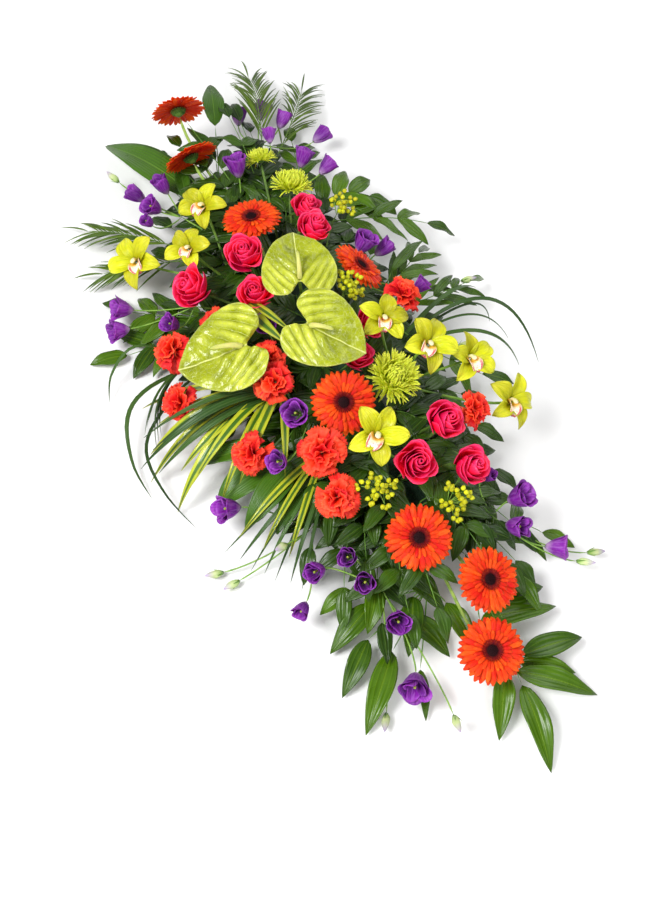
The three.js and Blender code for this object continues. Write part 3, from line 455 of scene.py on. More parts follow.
def own_stem(at, face, size, depth, radius, skin, foot_x=None):
    """A stem from the foam to the back of one bloom, whose depth is given for size 1."""
    look = Vector(face).normalized()
    back = Vector(at) - look * depth * size
    return stem(standing_route(foot_under(Vector(at), foot_x), back, look), radius, skin, 14)


def planted(name, slot, pieces, *replaced):
    """Joins a plant's parts, which ride on the spray and stand for its CAD nodes."""
    plant = together(pieces)
    plant.name = plant.data.name = name
    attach(plant, "root")
    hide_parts(*replaced)
    return plant


def petal_outline(along, narrow, blunt):
    """The outline of a strap-shaped petal: narrow at its root, and rounded off from blunt on."""
    end = max(0.0, (along - blunt) / (1 - blunt))
    return (narrow + (1 - narrow) * min(1.0, along / 0.5)) * math.sqrt(1 - 0.94 * end**2)


def ray(start, length, width, rise, droop, material, place, tint, columns=4, rows=6):
    """One ray: two shallow grooves along it, its tip bent a little."""
    twist = draw.uniform(-0.25, 0.25)

    def form(across, along):
        half = width / 2 * petal_outline(along, 0.5, 0.84)
        lift = rise * along - droop * along**2 + 0.0006 * math.cos(3 * math.pi * across)
        lift += across * twist * half
        return Vector((start + length * along, across * half, lift))

    return sheet(columns, rows, form, material, place, tint)


def gerbera_head(place):
    """A bloom: its rays, the ring of short florets, the studded eye, and the cup with its bracts."""
    parts = []
    for row, (count, start, reach, width, rise, droop) in enumerate(GERBERA_ROWS):
        for i in range(count):
            angle = 2 * math.pi * (i + row * 0.37) / count + draw.uniform(-0.04, 0.04)
            length = GERBERA_RADIUS * reach * draw.uniform(0.94, 1.0) - start
            bend = droop + draw.uniform(-0.002, 0.002)
            tint = draw.random()
            parts.append(ray(start, length, width, rise, bend, ray_skin, place @ about(angle), tint))
    for row in range(3):
        for i in range(GERBERA_RING_RAYS):
            angle = 2 * math.pi * (i + row / 3) / GERBERA_RING_RAYS
            start = GERBERA_EYE * 0.8 + row * 0.0018
            turn = place @ about(angle)
            rise = 0.0075 - row * 0.002
            parts.append(ray(start, *RING_RAY, rise, 0.001, ring_skin, turn, draw.random(), 2, 3))
    head = [thickened(parts, PETAL_WALL), turned(16, GERBERA_DOME, eye_skin, place, 0.3)]
    for i in range(GERBERA_STUDS):
        far = GERBERA_EYE * math.sqrt((i + 0.5) / GERBERA_STUDS)
        angle = i * GOLDEN_ANGLE
        spot = Vector((far * math.cos(angle), far * math.sin(angle), 0.0042 - 22 * far**2))
        stud_place = place @ Matrix.Translation(spot)
        head.append(turned(5, GERBERA_STUD, eye_skin, stud_place, i / GERBERA_STUDS))
    head.append(turned(20, GERBERA_CUP, bract_skin, place))
    bracts = []
    for row in range(2):
        low = Matrix.Translation((0, 0, -0.012 + row * 0.004))
        length = 0.008 + row * 0.002
        for i in range(GERBERA_BRACTS):
            turn = place @ about(2 * math.pi * (i + row / 2) / GERBERA_BRACTS) @ low
            bracts.append(ray(0.007, length, BRACT_WIDTH, 0.004, -0.001, bract_skin, turn, draw.random()))
    return head + [thickened(bracts, PETAL_WALL)]


ray_skin = petal_finish("gerbera_ray", (0.70, 0.010, 0.001), (0.94, 0.030, 0.001), (1.0, 0.070, 0.002),
                        (1.0, 0.13, 0.005), veins=5.0, streak=0.30, soft=0.30, rim=0.7)
ring_skin = petal_finish("gerbera_ring", (0.10, 0.002, 0.004), (0.24, 0.006, 0.008), (0.52, 0.020, 0.006),
                         (0.06, 0.002, 0.004), streak=0.3)
eye_skin = petal_finish("gerbera_eye", (0.02, 0.003, 0.005), (0.045, 0.004, 0.007), (0.12, 0.012, 0.010),
                        (0.005, 0.002, 0.003), gloss=0.6, soft=0.0)
bract_skin = petal_finish("gerbera_bract", (0.06, 0.16, 0.015), (0.05, 0.15, 0.015), (0.12, 0.18, 0.03),
                          (0.16, 0.28, 0.05), soft=0.05)
downy_stem = stem_finish("gerbera_stem", (0.36, 0.50, 0.10), (0.20, 0.34, 0.05), 0.55)

for number, (at, face, size) in enumerate(GERBERAS, 1):
    parts = gerbera_head(facing(at, face, draw.uniform(0, 6), size))
    parts.append(own_stem(at, face, size, GERBERA_DEPTH, GERBERA_STEM, downy_stem))
    planted(f"gerbera_bloom_{number}", "gerbera", parts, f"gerbera_{number}")

# Anthuriums: a waxy, heart-shaped spathe, quilted by its veins, with a knobbly spadix at its notch.
# Each stands on its own smooth stem.
SPATHE_LENGTH = 0.150
SPATHE_GRID = (160, 40)
SPATHE_WALL = 0.0014
SPATHE_PUFF = 0.0084
SPATHE_DIMPLE = 0.0030
SPATHE_MIDRIB = 0.0030
ANTHURIUM_STEM = 0.003
# Each bloom: its middle, the way it faces, its turn about that, its size, and where along the foam
# its stem stands if not under it.
ANTHURIUMS = [
    ((-0.073, -0.058, 0.280), (0.05, -0.12, 0.99), 2.85, 0.93, None),
    ((-0.015, -0.192, 0.208), (0.1, -0.5, 0.86), -1.74, 1.12, -0.052),
    ((0.041, -0.085, 0.288), (0.32, -0.12, 0.94), 0.75, 0.97, None),
]
# The heart in shares of its length: how far apart its side veins are, and its rim from tip to notch.
VEIN_PITCH = 0.185
HALF_HEART = [
    (0.70, 0), (0.60, 0.17), (0.42, 0.34), (0.16, 0.46),
    (-0.10, 0.46), (-0.26, 0.34), (-0.28, 0.16), (-0.08, 0),
]
heart = [Vector((x, y, 0)) for x, y in HALF_HEART]
heart += [Vector((x, -y, 0)) for x, y in HALF_HEART[-2::-1]]


def through(points, share):
    """A place on the smooth curve through points, share from 0 to 1."""
    last = len(points) - 1
    span = min(int(share * last), last - 1)
    t = share * last - span
    a, b, c, d = (points[min(max(span + i, 0), last)] for i in (-1, 0, 1, 2))
    return 0.5 * (2 * b + (c - a) * t + (2 * a - 5 * b + 4 * c - d) * t**2 + (3 * b - a - 3 * c + d) * t**3)


def spathe_point(angle, out, spin, spots):
    """The quilted dish of a spathe, puffed up between side veins that arch from midrib to rim."""
    rim = through(heart, angle / (2 * math.pi) + 0.5)
    x, y = rim.x * out, rim.y * out
    spots.append((x, y, out))
    off = abs(y)
    dish = (rim.length * out) ** 2 * 0.026 - max(rim.x - 0.5, 0) * out * 0.060
    puff = abs(math.sin(math.pi * (x - 0.75 * off - 1.5 * off**2) / VEIN_PITCH))
    puff *= min(1.0, off / 0.08) * min(1.0, 0.15 + 4 * (1 - out))
    puff *= 1 - 0.85 * min(1.0, max(0.0, x + 0.05) * 2.4)
    dimple = noise.noise(Vector((x * 6, y * 6, spin))) + 0.6 * noise.noise(Vector((x * 14, y * 14, spin)))
    midrib = -SPATHE_MIDRIB * math.exp(-((y / 0.026) ** 2)) * min(1.0, 4 * (1 - out))
    curl = 0.0042 * math.sin(3 * angle + spin) * out**3 - 0.004 * max(0.0, out - 0.85)
    height = dish + SPATHE_PUFF * puff + SPATHE_DIMPLE * dimple + midrib + curl
    return Vector((x * SPATHE_LENGTH, y * SPATHE_LENGTH, height))


def spathe(place, spin):
    """A spathe whose UV map holds each point's place in the heart, and whose tint is 1 at its rim."""
    spots = []

    def form(across, along):
        return spathe_point(math.pi * across, along, spin, spots)

    dish = sheet(*SPATHE_GRID, form, spathe_skin, place)
    dish.data.attributes["tint"].data.foreach_set("value", [out for x, y, out in spots])
    for loop, corner in zip(dish.data.loops, dish.data.uv_layers.active.data):
        corner.uv = spots[loop.vertex_index][:2]
    choose([dish])
    bpy.ops.object.mode_set(mode="EDIT")
    bpy.ops.mesh.select_all(action="SELECT")
    bpy.ops.mesh.remove_doubles(threshold=1e-6)
    bpy.ops.object.mode_set(mode="OBJECT")
    return thickened([dish], SPATHE_WALL)


def spathe_wax(start):
    """Waxy lime skin: paler veins that follow the quilting, a fine net and a pale midrib. On the lobes the
    crests of the quilting are painted lighter than its hollows, and a painted highlight runs along the rim.
    """
    along, aside = start.edges()
    off = abs(aside)
    rim = start.tint()
    place = start.place()
    row = (along - off * 0.75 - off * off * 1.5) * (math.pi / VEIN_PITCH)
    crest = abs(start.sum("SINE", row))
    near = 1 - along.step(0.02, 0.30)
    edges = {"feature": "DISTANCE_TO_EDGE"}
    cells = start.node("ShaderNodeTexVoronoi", edges, {"Vector": place, "Scale": 120.0})
    net = 1 - cells.step(0.0, 0.12)
    patch = start.grain(place, 34.0, 3.0)
    pucker = start.grain(place, 70.0, 2.0)
    # Painted light and shade: on the lobes the crests of the quilting are painted lighter and its hollows
    # darker; the patches are the skin's own mottling.
    body = (crest * near * 0.3 + patch * 0.9).ramp(
        (0.14, (0.13, 0.16, 0.001)), (0.50, (0.30, 0.345, 0.004)), (0.86, (0.56, 0.60, 0.055)))
    veined = ((1 - crest.step(0.04, 0.20)) * near * 0.4).mix(body, (0.62, 0.66, 0.16))
    netted = (net * 0.16).mix(veined, (0.66, 0.70, 0.22))
    ribbed = ((1 - off.step(0.004, 0.016)) * 0.7).mix(netted, (0.76, 0.78, 0.28))
    return {
        # Painted highlight: the outermost rim is painted a little paler.
        "Base Color": (rim.step(0.95, 1.0) * 0.25).mix(ribbed, (0.62, 0.66, 0.22)),
        "Roughness": 0.18 + 0.14 * patch,
        "Specular IOR Level": 0.3,
        "Normal": start.bump(pucker - net * 0.15, 0.0030),
        "Coat Weight": 0.28,
        "Coat Roughness": 0.12,
        "Subsurface Weight": 0.05,
        "Subsurface Radius": (0.004, 0.004, 0.001),
    }


def spadix_point(angle, along):
    """A point on the spadix: a bent finger of small knobs that stands up from the notch."""
    route = arc(Vector((-0.004, 0, -0.002)), Vector((0.006, 0, 0.024)), Vector((0.036, 0, 0.033)))
    heading = heading_of(route, along)
    over = Vector((0, 1, 0)).cross(heading)
    knob = 0.00035 * math.cos(9 * angle + 24 * along * math.pi) * math.cos(26 * along * math.pi)
    size = (0.0050 - 0.0022 * along + knob) * min(1, (1 - along) * 9) ** 0.5 * min(1, along * 30)
    return route(along) + Vector((0, size * math.cos(angle), 0)) + over * size * math.sin(angle)


spathe_skin = finish("anthurium_spathe", spathe_wax)
spadix_skin = petal_finish("anthurium_spadix", (0.70, 0.70, 0.16), (0.80, 0.76, 0.22), (0.62, 0.68, 0.12),
                           (0.88, 0.84, 0.40), veins=30.0, gloss=0.45)
smooth_stem = stem_finish("anthurium_stem", (0.22, 0.38, 0.05), (0.12, 0.26, 0.03), 0.3)

for number, (at, face, spin, size, foot_x) in enumerate(ANTHURIUMS, 1):
    place = facing(at, face, spin, size)
    parts = [spathe(place, spin), tube(20, 44, spadix_point, spadix_skin, place)]
    parts.append(own_stem(at, face, size, 0, ANTHURIUM_STEM, smooth_stem, foot_x))
    planted(f"anthurium_bloom_{number}", "anthurium", parts, f"anthurium_{number}")

# Spider chrysanthemums: domes of lime, quill-like florets that curl in at the crown and splay at the rim.
# Each has a woody stem.
FLORETS = 330
FLORET_WIDTH = 0.0036
CHRYSANTHEMUM_DEPTH = 0.013
CHRYSANTHEMUM_CUP = [(0, -0.002), (0.012, -0.005), (0.009, -0.012), (0, -0.016)]
WOODY_STEM = 0.0026
CHRYSANTHEMUMS = [
    ((0.138, 0.038, 0.212), (0.3, 0.05, 0.95), 1.0),
    ((-0.455, 0.035, 0.182), (-0.75, 0.05, 0.66), 0.62),
    ((-0.362, 0.062, 0.190), (-0.35, 0.2, 0.92), 0.86),
]


def quill(rise, length, width, curl, wave, material, place, tint):
    """One floret: a folded quill that leaves at an angle and curls up by the end."""

    def form(across, along):
        angle = rise + curl * along**1.6
        reach = length * along
        half = width / 2 * petal_outline(along, 0.6, 0.75)
        fold = 0.7 * abs(across) * half
        side = wave * math.sin(2.6 * math.pi * along) * along
        return Vector((0.004 + reach * math.cos(angle) - fold * math.sin(angle), across * half + side,
                       reach * math.sin(angle) + fold * math.cos(angle)))

    return sheet(2, 7, form, material, place, tint)


quill_skin = petal_finish("chrysanthemum_floret", (0.60, 0.70, 0.006), (0.90, 0.98, 0.014),
                          (0.96, 1.0, 0.090), (0.94, 1.0, 0.080), streak=0.35, soft=0.20)
woody_stem = stem_finish("woody_stem", (0.12, 0.22, 0.03), (0.06, 0.12, 0.02))

for number, (at, face, size) in enumerate(CHRYSANTHEMUMS, 1):
    place = facing(at, face, 0, size)
    florets = []
    for i in range(FLORETS):
        outer = (i / (FLORETS - 1)) ** 0.8
        turn = place @ Matrix.Translation((0, 0, -0.008)) @ about(i * GOLDEN_ANGLE)
        rise = 1.45 - 1.45 * outer + draw.uniform(-0.1, 0.1)
        length = (0.034 + 0.017 * outer) * draw.uniform(0.86, 1.04)
        curl = 0.8 * (1 - outer) ** 0.5 - 0.15 * outer + draw.uniform(-0.35, 0.35)
        wave = draw.uniform(-0.0030, 0.0030)
        tint = 1 - 0.7 * outer * draw.random()
        florets.append(quill(rise, length, FLORET_WIDTH, curl, wave, quill_skin, turn, tint))
    parts = [thickened(florets, PETAL_WALL), turned(12, CHRYSANTHEMUM_CUP, bract_skin, place)]
    parts.append(own_stem(at, face, size, CHRYSANTHEMUM_DEPTH, WOODY_STEM, woody_stem))
    planted(f"chrysanthemum_bloom_{number}", "chrysanthemum", parts, f"chrysanthemum_{number}")

# Cymbidium orchids: five waxy lime tepals cupped round a cream lip that is edged in dark red, under a
# hooded column. They grow along three stalks.
ORCHID_RADIUS = 0.054
ORCHID_WALL = 0.0009
ORCHID_DEPTH = 0.002
ORCHID_FORK = 0.5
# Each tepal: its turn about the bloom, its width, and how far it lies in front of the others.
TEPALS = [
    (0, 0.035, 0),
    (1.22, 0.034, 0.0014),
    (-1.22, 0.034, 0.0014),
    (2.45, 0.035, -0.0007),
    (-2.45, 0.035, -0.0007),
]
# Each spike's blooms: the middle, the way it faces, its size, and its turn about the way it faces.
ORCHID_SPIKES = [
    [
        ((-0.348, -0.263, 0.095), (0.2, -0.6, 0.77), 1.0, 3.16),
        ((-0.362, -0.124, 0.188), (0.2, -0.4, 0.89), 0.88, 2.2),
        ((-0.278, -0.184, 0.178), (0.2, -0.4, 0.89), 0.82, 2.45),
    ],
    [
        ((0.050, 0.050, 0.264), (0.4, -0.1, 0.9), 0.86, 2.67),
        ((0.130, 0.096, 0.268), (0.4, 0.05, 0.9), 0.95, 2.3),
        ((0.160, 0.172, 0.232), (0.45, 0.15, 0.88), 0.9, 3.12),
        ((0.222, 0.246, 0.146), (0.5, 0.25, 0.83), 0.96, 2.7),
    ],
    [((0.250, -0.056, 0.236), (0.45, -0.15, 0.88), 0.96, 2.23)],
]


def tepal(width, material, place, tint):
    """A broad pointed tepal, cupped forward and twisted a little, with a keel along its middle."""
    droop = draw.uniform(-0.014, 0.008)
    lean = draw.uniform(-0.5, 0.5)
    length = ORCHID_RADIUS * draw.uniform(0.90, 1.02)
    wave = draw.uniform(0, 6)

    def form(across, along):
        half = width / 2 * (math.sin(math.pi * (0.10 + 0.90 * along)) ** 0.62 + 0.02)
        lift = 0.016 * math.sin(2.6 * along) + droop * along**2
        lift += 0.0014 * math.sin(7 * along + 5 * across + wave)
        cup = 0.50 * half * across**2 - 0.0014 * math.exp(-((across * 5) ** 2)) * (1 - along)
        twist = lean * along * across * half
        return Vector((0.003 + length * along, across * half + lean * 0.012 * along**2, lift + cup + twist))

    return sheet(10, 12, form, material, place, tint)


def lip_form(across, along):
    """The lip: its throat holds its sides up, and its ruffled apron curls down."""
    route = arc(Vector((-0.004, 0, 0.001)), Vector((-0.013, 0, 0.024)), Vector((-0.031, 0, 0.013)))
    heading = heading_of(route, along)
    over = heading.cross(Vector((0, 1, 0)))
    half = 0.0085 + 0.0045 * math.sin(math.pi * min(along * 1.15, 1.0)) + 0.002 * along
    half *= math.sqrt(1 - 0.85 * max(0.0, (along - 0.7) / 0.3) ** 2)
    sides = (0.9 - 0.75 * along) * half * across**2
    ruffle = 0.0016 * along**2 * across**2 * math.sin(9 * across + 14 * along)
    return route(along) + Vector((0, across * half, 0)) + over * (-sides + ruffle)


def hood_form(angle, along):
    """The column: a waxy hood that arches over the lip's throat."""
    route = arc(Vector((0.004, 0, -0.001)), Vector((0.006, 0, 0.016)), Vector((-0.007, 0, 0.021)))
    heading = heading_of(route, along)
    over = heading.cross(Vector((0, 1, 0)))
    closing = min(1, along * 20) * math.sqrt(max(0.0, 1 - max(0, (along - 0.8) / 0.2) ** 2))
    size = (0.0036 + 0.0014 * along) * closing
    return route(along) + Vector((0, size * 1.15 * math.cos(angle), 0)) + over * size * 0.8 * math.sin(angle)


def lip_paint(start):
    """Lip skin: cream with dark red specks, edged in dark red, and yellow in the throat."""
    across, along = start.edges()
    place = start.place()
    wobble = (start.grain(place, 260.0, 3.0) - 0.5) * 0.16
    rim = abs(across - 0.5) * 2.0 + wobble
    band = rim.step(0.62, 0.8) * (1 - rim.step(0.93, 1.0)) * along.step(0.3, 0.5)
    front = (along + wobble).step(0.86, 0.93)
    throat = 1 - (along + wobble).step(0.22, 0.5)
    cream = throat.mix((0.94, 0.84, 0.62), (0.90, 0.50, 0.06))
    speck = start.grain(place, 420.0, 1.0).step(0.58, 0.68) * along.step(0.1, 0.5)
    spotted = (speck * 0.75).mix(cream, (0.72, 0.08, 0.09))
    return {
        "Base Color": (start.sum("MAXIMUM", band, front) * 0.85).mix(spotted, (0.50, 0.012, 0.045)),
        "Roughness": 0.35 + 0.15 * wobble,
        "Normal": start.bump(wobble, 0.001),
        "Subsurface Weight": 0.15,
        "Subsurface Radius": (0.004, 0.002, 0.001),
    }


tepal_skin = petal_finish("orchid_tepal", (0.42, 0.42, 0.006), (0.54, 0.53, 0.009), (0.74, 0.71, 0.045),
                          (0.32, 0.37, 0.005), veins=7.0, streak=0.45, gloss=0.30, soft=0.10)
lip_skin = finish("orchid_lip", lip_paint)
hood_skin = petal_finish("orchid_column", (0.72, 0.70, 0.20), (0.86, 0.80, 0.42), (0.92, 0.84, 0.55),
                         (0.8, 0.6, 0.3), gloss=0.35)


def fork_stems(blooms, radius, depth, rise, skin):
    """A trunk from the foam and a bent branch from its fork to the back of each bloom."""
    middle = sum((Vector(at) for at, *rest in blooms), Vector()) / len(blooms)
    foot = foot_under(middle)
    fork = foot.lerp(middle, rise)
    parts = [stem(lambda share: foot.lerp(fork, share), radius, skin, 6)]
    for at, face, size, *spin in blooms:
        look = Vector(face).normalized()
        parts.append(branch(foot, fork, Vector(at) - look * depth * size, look, radius, skin))
    return parts


def branch(foot, fork, end, look, radius, skin):
    """One bent branch: it leaves a little below the fork and meets its bloom from behind."""
    start = fork + (foot - fork).normalized() * radius * 3
    reach = (end - start).length
    return stem(arc(start, end - look * reach * 0.35, end), radius, skin, 9, 6)


for number, spike in enumerate(ORCHID_SPIKES, 1):
    parts = []
    for at, face, size, spin in spike:
        place = facing(at, face, spin, size)
        tepals = []
        for angle, width, lift in TEPALS:
            turn = place @ Matrix.Translation((0, 0, lift)) @ about(angle + draw.uniform(-0.14, 0.14))
            tepals.append(tepal(width * draw.uniform(0.92, 1.08), tepal_skin, turn, draw.random()))
        parts.append(thickened(tepals, ORCHID_WALL))
        parts.append(thickened([sheet(12, 14, lip_form, lip_skin, place)], ORCHID_WALL))
        parts.append(tube(10, 12, hood_form, hood_skin, place))
    parts += fork_stems(spike, WOODY_STEM, ORCHID_DEPTH, ORCHID_FORK, smooth_stem)
    planted(f"orchid_spike_{number}", "orchid", parts, f"orchids_{number}")

# Roses: cerise heads whose petals wind in a spiral from a furled heart to rolled outer rims, over
# pointed green sepals. They stand singly or in pairs on woody stems.
PETAL_BASE = 0.003
ROSE_WALL = 0.0006
ROSE_DEPTH = 0.026
ROSE_FORK = 0.45
ROSE_HIP = [(0, -0.020), (0.006, -0.022), (0.007, -0.027), (0.0045, -0.033), (0, -0.035)]
ROSE_PAIRS = [
    [((-0.280, 0.055, 0.208), (0.1, 0.25, 0.96), 0.88), ((-0.212, 0.038, 0.232), (0.1, 0.1, 1), 0.92)],
    [
        ((-0.198, -0.106, 0.222), (0.1, -0.35, 0.93), 1.05),
        ((-0.200, -0.208, 0.164), (0.1, -0.65, 0.75), 1.12),
    ],
    [((-0.112, -0.122, 0.216), (0.2, -0.3, 0.93), 0.95)],
    [((0.016, 0.049, 0.211), (0.3, 0.1, 0.95), 0.85), ((0.086, -0.016, 0.234), (0.3, 0, 0.95), 0.85)],
    [((0.250, 0.080, 0.212), (0.4, 0.15, 0.9), 1), ((0.336, 0.090, 0.188), (0.45, 0.3, 0.85), 1)],
    [((0.306, -0.002, 0.206), (0.45, -0.1, 0.88), 1)],
]
# Rings of petals from the heart out: count, wrap, belly, mouth, height, flare, swirl and point.
ROSE_RINGS = [
    (3, 2.6, 0.0070, 0.0032, 0.0300, 0.0, 0.0015, 0.0),
    (3, 1.9, 0.0140, 0.0080, 0.0310, 0.0010, 0.0030, 0.04),
    (4, 1.40, 0.0215, 0.0130, 0.0290, 0.0025, 0.0045, 0.08),
    (4, 1.15, 0.0310, 0.0205, 0.0245, 0.0052, 0.0055, 0.13),
    (5, 1.00, 0.0385, 0.0275, 0.0165, 0.0095, 0.0060, 0.15),
]


def cupped(wrap, belly, mouth, low, high, flare, ruffle, material, place, tint, swirl=0.0016, point=0.0):
    """A petal that is part of a cup: it wraps round the bloom, bellies out and rolls at its rim."""
    phase = draw.uniform(0, 6)

    def form(across, along):
        t = along * (1 - 0.22 * abs(across) ** 2.5 - point * abs(across))
        radius = (1 - t) ** 2 * PETAL_BASE + 2 * t * (1 - t) * belly + t**2 * mouth
        height = (1 - t) ** 2 * low + 2 * t * (1 - t) * (low + 0.35 * (high - low)) + t**2 * high
        roll = max(0.0, t - 0.72) / 0.28
        radius += flare * roll**2 + swirl * across * along
        height -= abs(flare) * 0.55 * roll**3
        radius += ruffle * along**2 * math.sin(4.5 * across + phase)
        height += ruffle * along**2 * math.cos(3.5 * across + phase)
        angle = wrap * across * (0.35 + 0.65 * math.sin(math.pi * min(0.5, 0.1 + along * 0.6)))
        return Vector((radius * math.cos(angle), radius * math.sin(angle), height))

    return sheet(10, 10, form, material, place, tint)


def rose_head(place):
    """A half-open rose: its rings of petals wind out from the heart, each lower and wider than the last."""
    petals = []
    for ring, (count, wrap, belly, mouth, high, flare, swirl, point) in enumerate(ROSE_RINGS):
        start = draw.uniform(0, 6)
        for i in range(count):
            spin = start + 2 * math.pi * i / count + draw.uniform(-0.25, 0.25)
            lean = Matrix.Rotation(draw.uniform(-0.05, 0.09) * ring / 2, 4, "Y")
            sizes = [size * draw.uniform(0.90, 1.06) for size in (belly, mouth, high, flare)]
            ruffle = draw.uniform(0.0006, 0.0020) * ring / 2
            petals.append(cupped(wrap * draw.uniform(0.9, 1.1), sizes[0], sizes[1], -0.025, sizes[2],
                                 sizes[3], ruffle, rose_skin, place @ about(spin) @ lean, draw.random(),
                                 swirl, point))
    return thickened(petals, ROSE_WALL)


def sepals(count, start, low, length, width, spread, material, place):
    """Narrow pointed sepals under a bloom."""
    blades = []
    for i in range(count):
        turn = place @ about(2 * math.pi * (i + 0.3) / count + draw.uniform(-0.15, 0.15))
        lean = spread + draw.uniform(-0.25, 0.25)

        def form(across, along):
            half = width / 2 * (math.sin(math.pi * (0.25 + 0.75 * along)) + 0.05)
            angle = lean * along
            return Vector((start + length * along * math.sin(0.5 + angle), across * half,
                           low + length * along * math.cos(0.5 + angle) + 0.25 * abs(across) * half))

        blades.append(sheet(2, 6, form, material, turn, draw.random()))
    return thickened(blades, ROSE_WALL)


# Painted light and shade: the dark root colour paints the shade deep in the head, and the pale pink tip
# colour paints highlights on the petals' rims.
rose_skin = petal_finish("rose_petal", (0.52, 0.001, 0.018), (0.86, 0.003, 0.052), (0.98, 0.040, 0.16),
                         (0.96, 0.016, 0.095), veins=4.0, streak=0.25, gloss=0.36, soft=0.22, rim=0.72)
hip_skin = stem_finish("rose_hip", (0.13, 0.30, 0.06), (0.08, 0.20, 0.04))
for number, pair in enumerate(ROSE_PAIRS, 1):
    parts = []
    for at, face, size in pair:
        place = facing(at, face, draw.uniform(0, 6), size)
        parts += [rose_head(place), turned(10, ROSE_HIP, hip_skin, place)]
        parts.append(sepals(5, 0.005, -0.026, 0.030, 0.007, 1.5, bract_skin, place))
    parts += fork_stems(pair, WOODY_STEM, ROSE_DEPTH, ROSE_FORK, woody_stem)
    planted(f"rose_blooms_{number}", "rose", parts, f"roses_{number}")

# Carnations: dense pompons of crinkled, saw-edged coral petals held in a long green calyx.
# They stand in pairs on jointed, waxy stems.
CARNATION_FANS = 30
CARNATION_CALYX = [
    (0, -0.008), (0.009, -0.009), (0.0085, -0.020), (0.006, -0.032), (0.003, -0.036), (0, -0.037),
]
CARNATION_DEPTH = 0.030
CARNATION_FORK = 0.45
CARNATION_STEM = 0.0022
CARNATION_PAIRS = [
    [
        ((-0.118, -0.280, 0.108), (-0.1, -0.78, 0.62), 0.9),
        ((-0.014, -0.303, 0.092), (0, -0.82, 0.57), 0.9),
    ],
    [
        ((-0.108, -0.196, 0.160), (-0.1, -0.6, 0.8), 0.85),
        ((0.009, -0.147, 0.186), (0.05, -0.45, 0.89), 0.75),
    ],
    [
        ((0.158, -0.238, 0.138), (0.2, -0.75, 0.63), 0.95),
        ((0.063, -0.157, 0.190), (0.2, -0.5, 0.85), 0.9),
    ],
    [
        ((0.225, -0.140, 0.192), (0.35, -0.4, 0.85), 1.0),
        ((0.304, -0.145, 0.172), (0.4, -0.4, 0.83), 0.9),
    ],
    [
        ((0.235, 0.155, 0.186), (0.35, 0.45, 0.82), 0.85),
        ((-0.025, 0.140, 0.212), (0, 0.45, 0.89), 0.9),
    ],
]


def fan(rise, length, width, arch, material, place, tint):
    """One crinkled fan of a petal: it narrows to a claw and its edge is cut into teeth."""
    phase, second = draw.uniform(0, 6), draw.uniform(0, 6)
    crinkle = draw.uniform(0.0040, 0.0080)

    def form(across, along):
        tooth = 1 - 0.11 * abs(math.sin(across * 12 + second)) * along**3
        spread = across * 0.75
        reach = length * along * tooth * (1 - 0.12 * across**2)
        half = width / 2 * (0.08 + 0.92 * along**1.3)
        wavy = math.sin(3.0 * across + phase) + 0.35 * math.sin(8 * across + second)
        ruffle = crinkle * along**1.6 * wavy
        angle = rise - arch * along**2
        out = reach * math.cos(angle) - ruffle * math.sin(angle)
        return Vector((0.001 + out * math.cos(spread * 0.25), spread * half * 1.3,
                       reach * math.sin(angle) + ruffle * math.cos(angle)))

    return sheet(16, 6, form, material, place, tint)


# Painted shade: the dark root colour stands for the shade deep among the crinkled petals.
carnation_skin = petal_finish("carnation_petal", (0.34, 0.002, 0.002), (0.78, 0.010, 0.005),
                              (0.96, 0.055, 0.026), (1.0, 0.085, 0.045), veins=6.0, streak=0.28, gloss=0.5,
                              soft=0.10, rim=0.62)
calyx_skin = stem_finish("carnation_calyx", (0.22, 0.38, 0.16), (0.14, 0.27, 0.10), 0.5)
for number, pair in enumerate(CARNATION_PAIRS, 1):
    parts = []
    for at, face, size in pair:
        place = facing(at, face, draw.uniform(0, 6), size)
        fans = []
        for i in range(CARNATION_FANS):
            outer = (i / (CARNATION_FANS - 1)) ** 0.75
            spin = i * GOLDEN_ANGLE + draw.uniform(-0.4, 0.4)
            turn = place @ Matrix.Translation((0, 0, -0.010)) @ about(spin)
            rise = 1.42 - 1.15 * outer + draw.uniform(-0.28, 0.28)
            length = (0.038 + 0.009 * outer) * draw.uniform(0.74, 1.08)
            width = draw.uniform(0.032, 0.044)
            fans.append(fan(rise, length, width, 0.35 * outer, carnation_skin, turn, draw.random()))
        parts += [thickened(fans, PETAL_WALL), turned(12, CARNATION_CALYX, calyx_skin, place)]
    parts += fork_stems(pair, CARNATION_STEM, CARNATION_DEPTH, CARNATION_FORK, calyx_skin)
    planted(f"carnation_blooms_{number}", "carnation", parts, f"carnations_{number}")

# Lisianthus: thin stems that fork to violet bells, whose petals overlap in a swirl, and to furled buds.
# Needle-like sepals hold each bell.
BELL_LENGTH = 0.042
BUD_LENGTH = 0.034
THIN_STEM = 0.0017
SIDE_STEM = 0.0014
INNER_PETALS = 3
OUTER_PETALS = 4
PISTIL = [(0, 0.006), (0.0022, 0.004), (0.0016, 0), (0.0012, -0.014), (0, -0.022)]
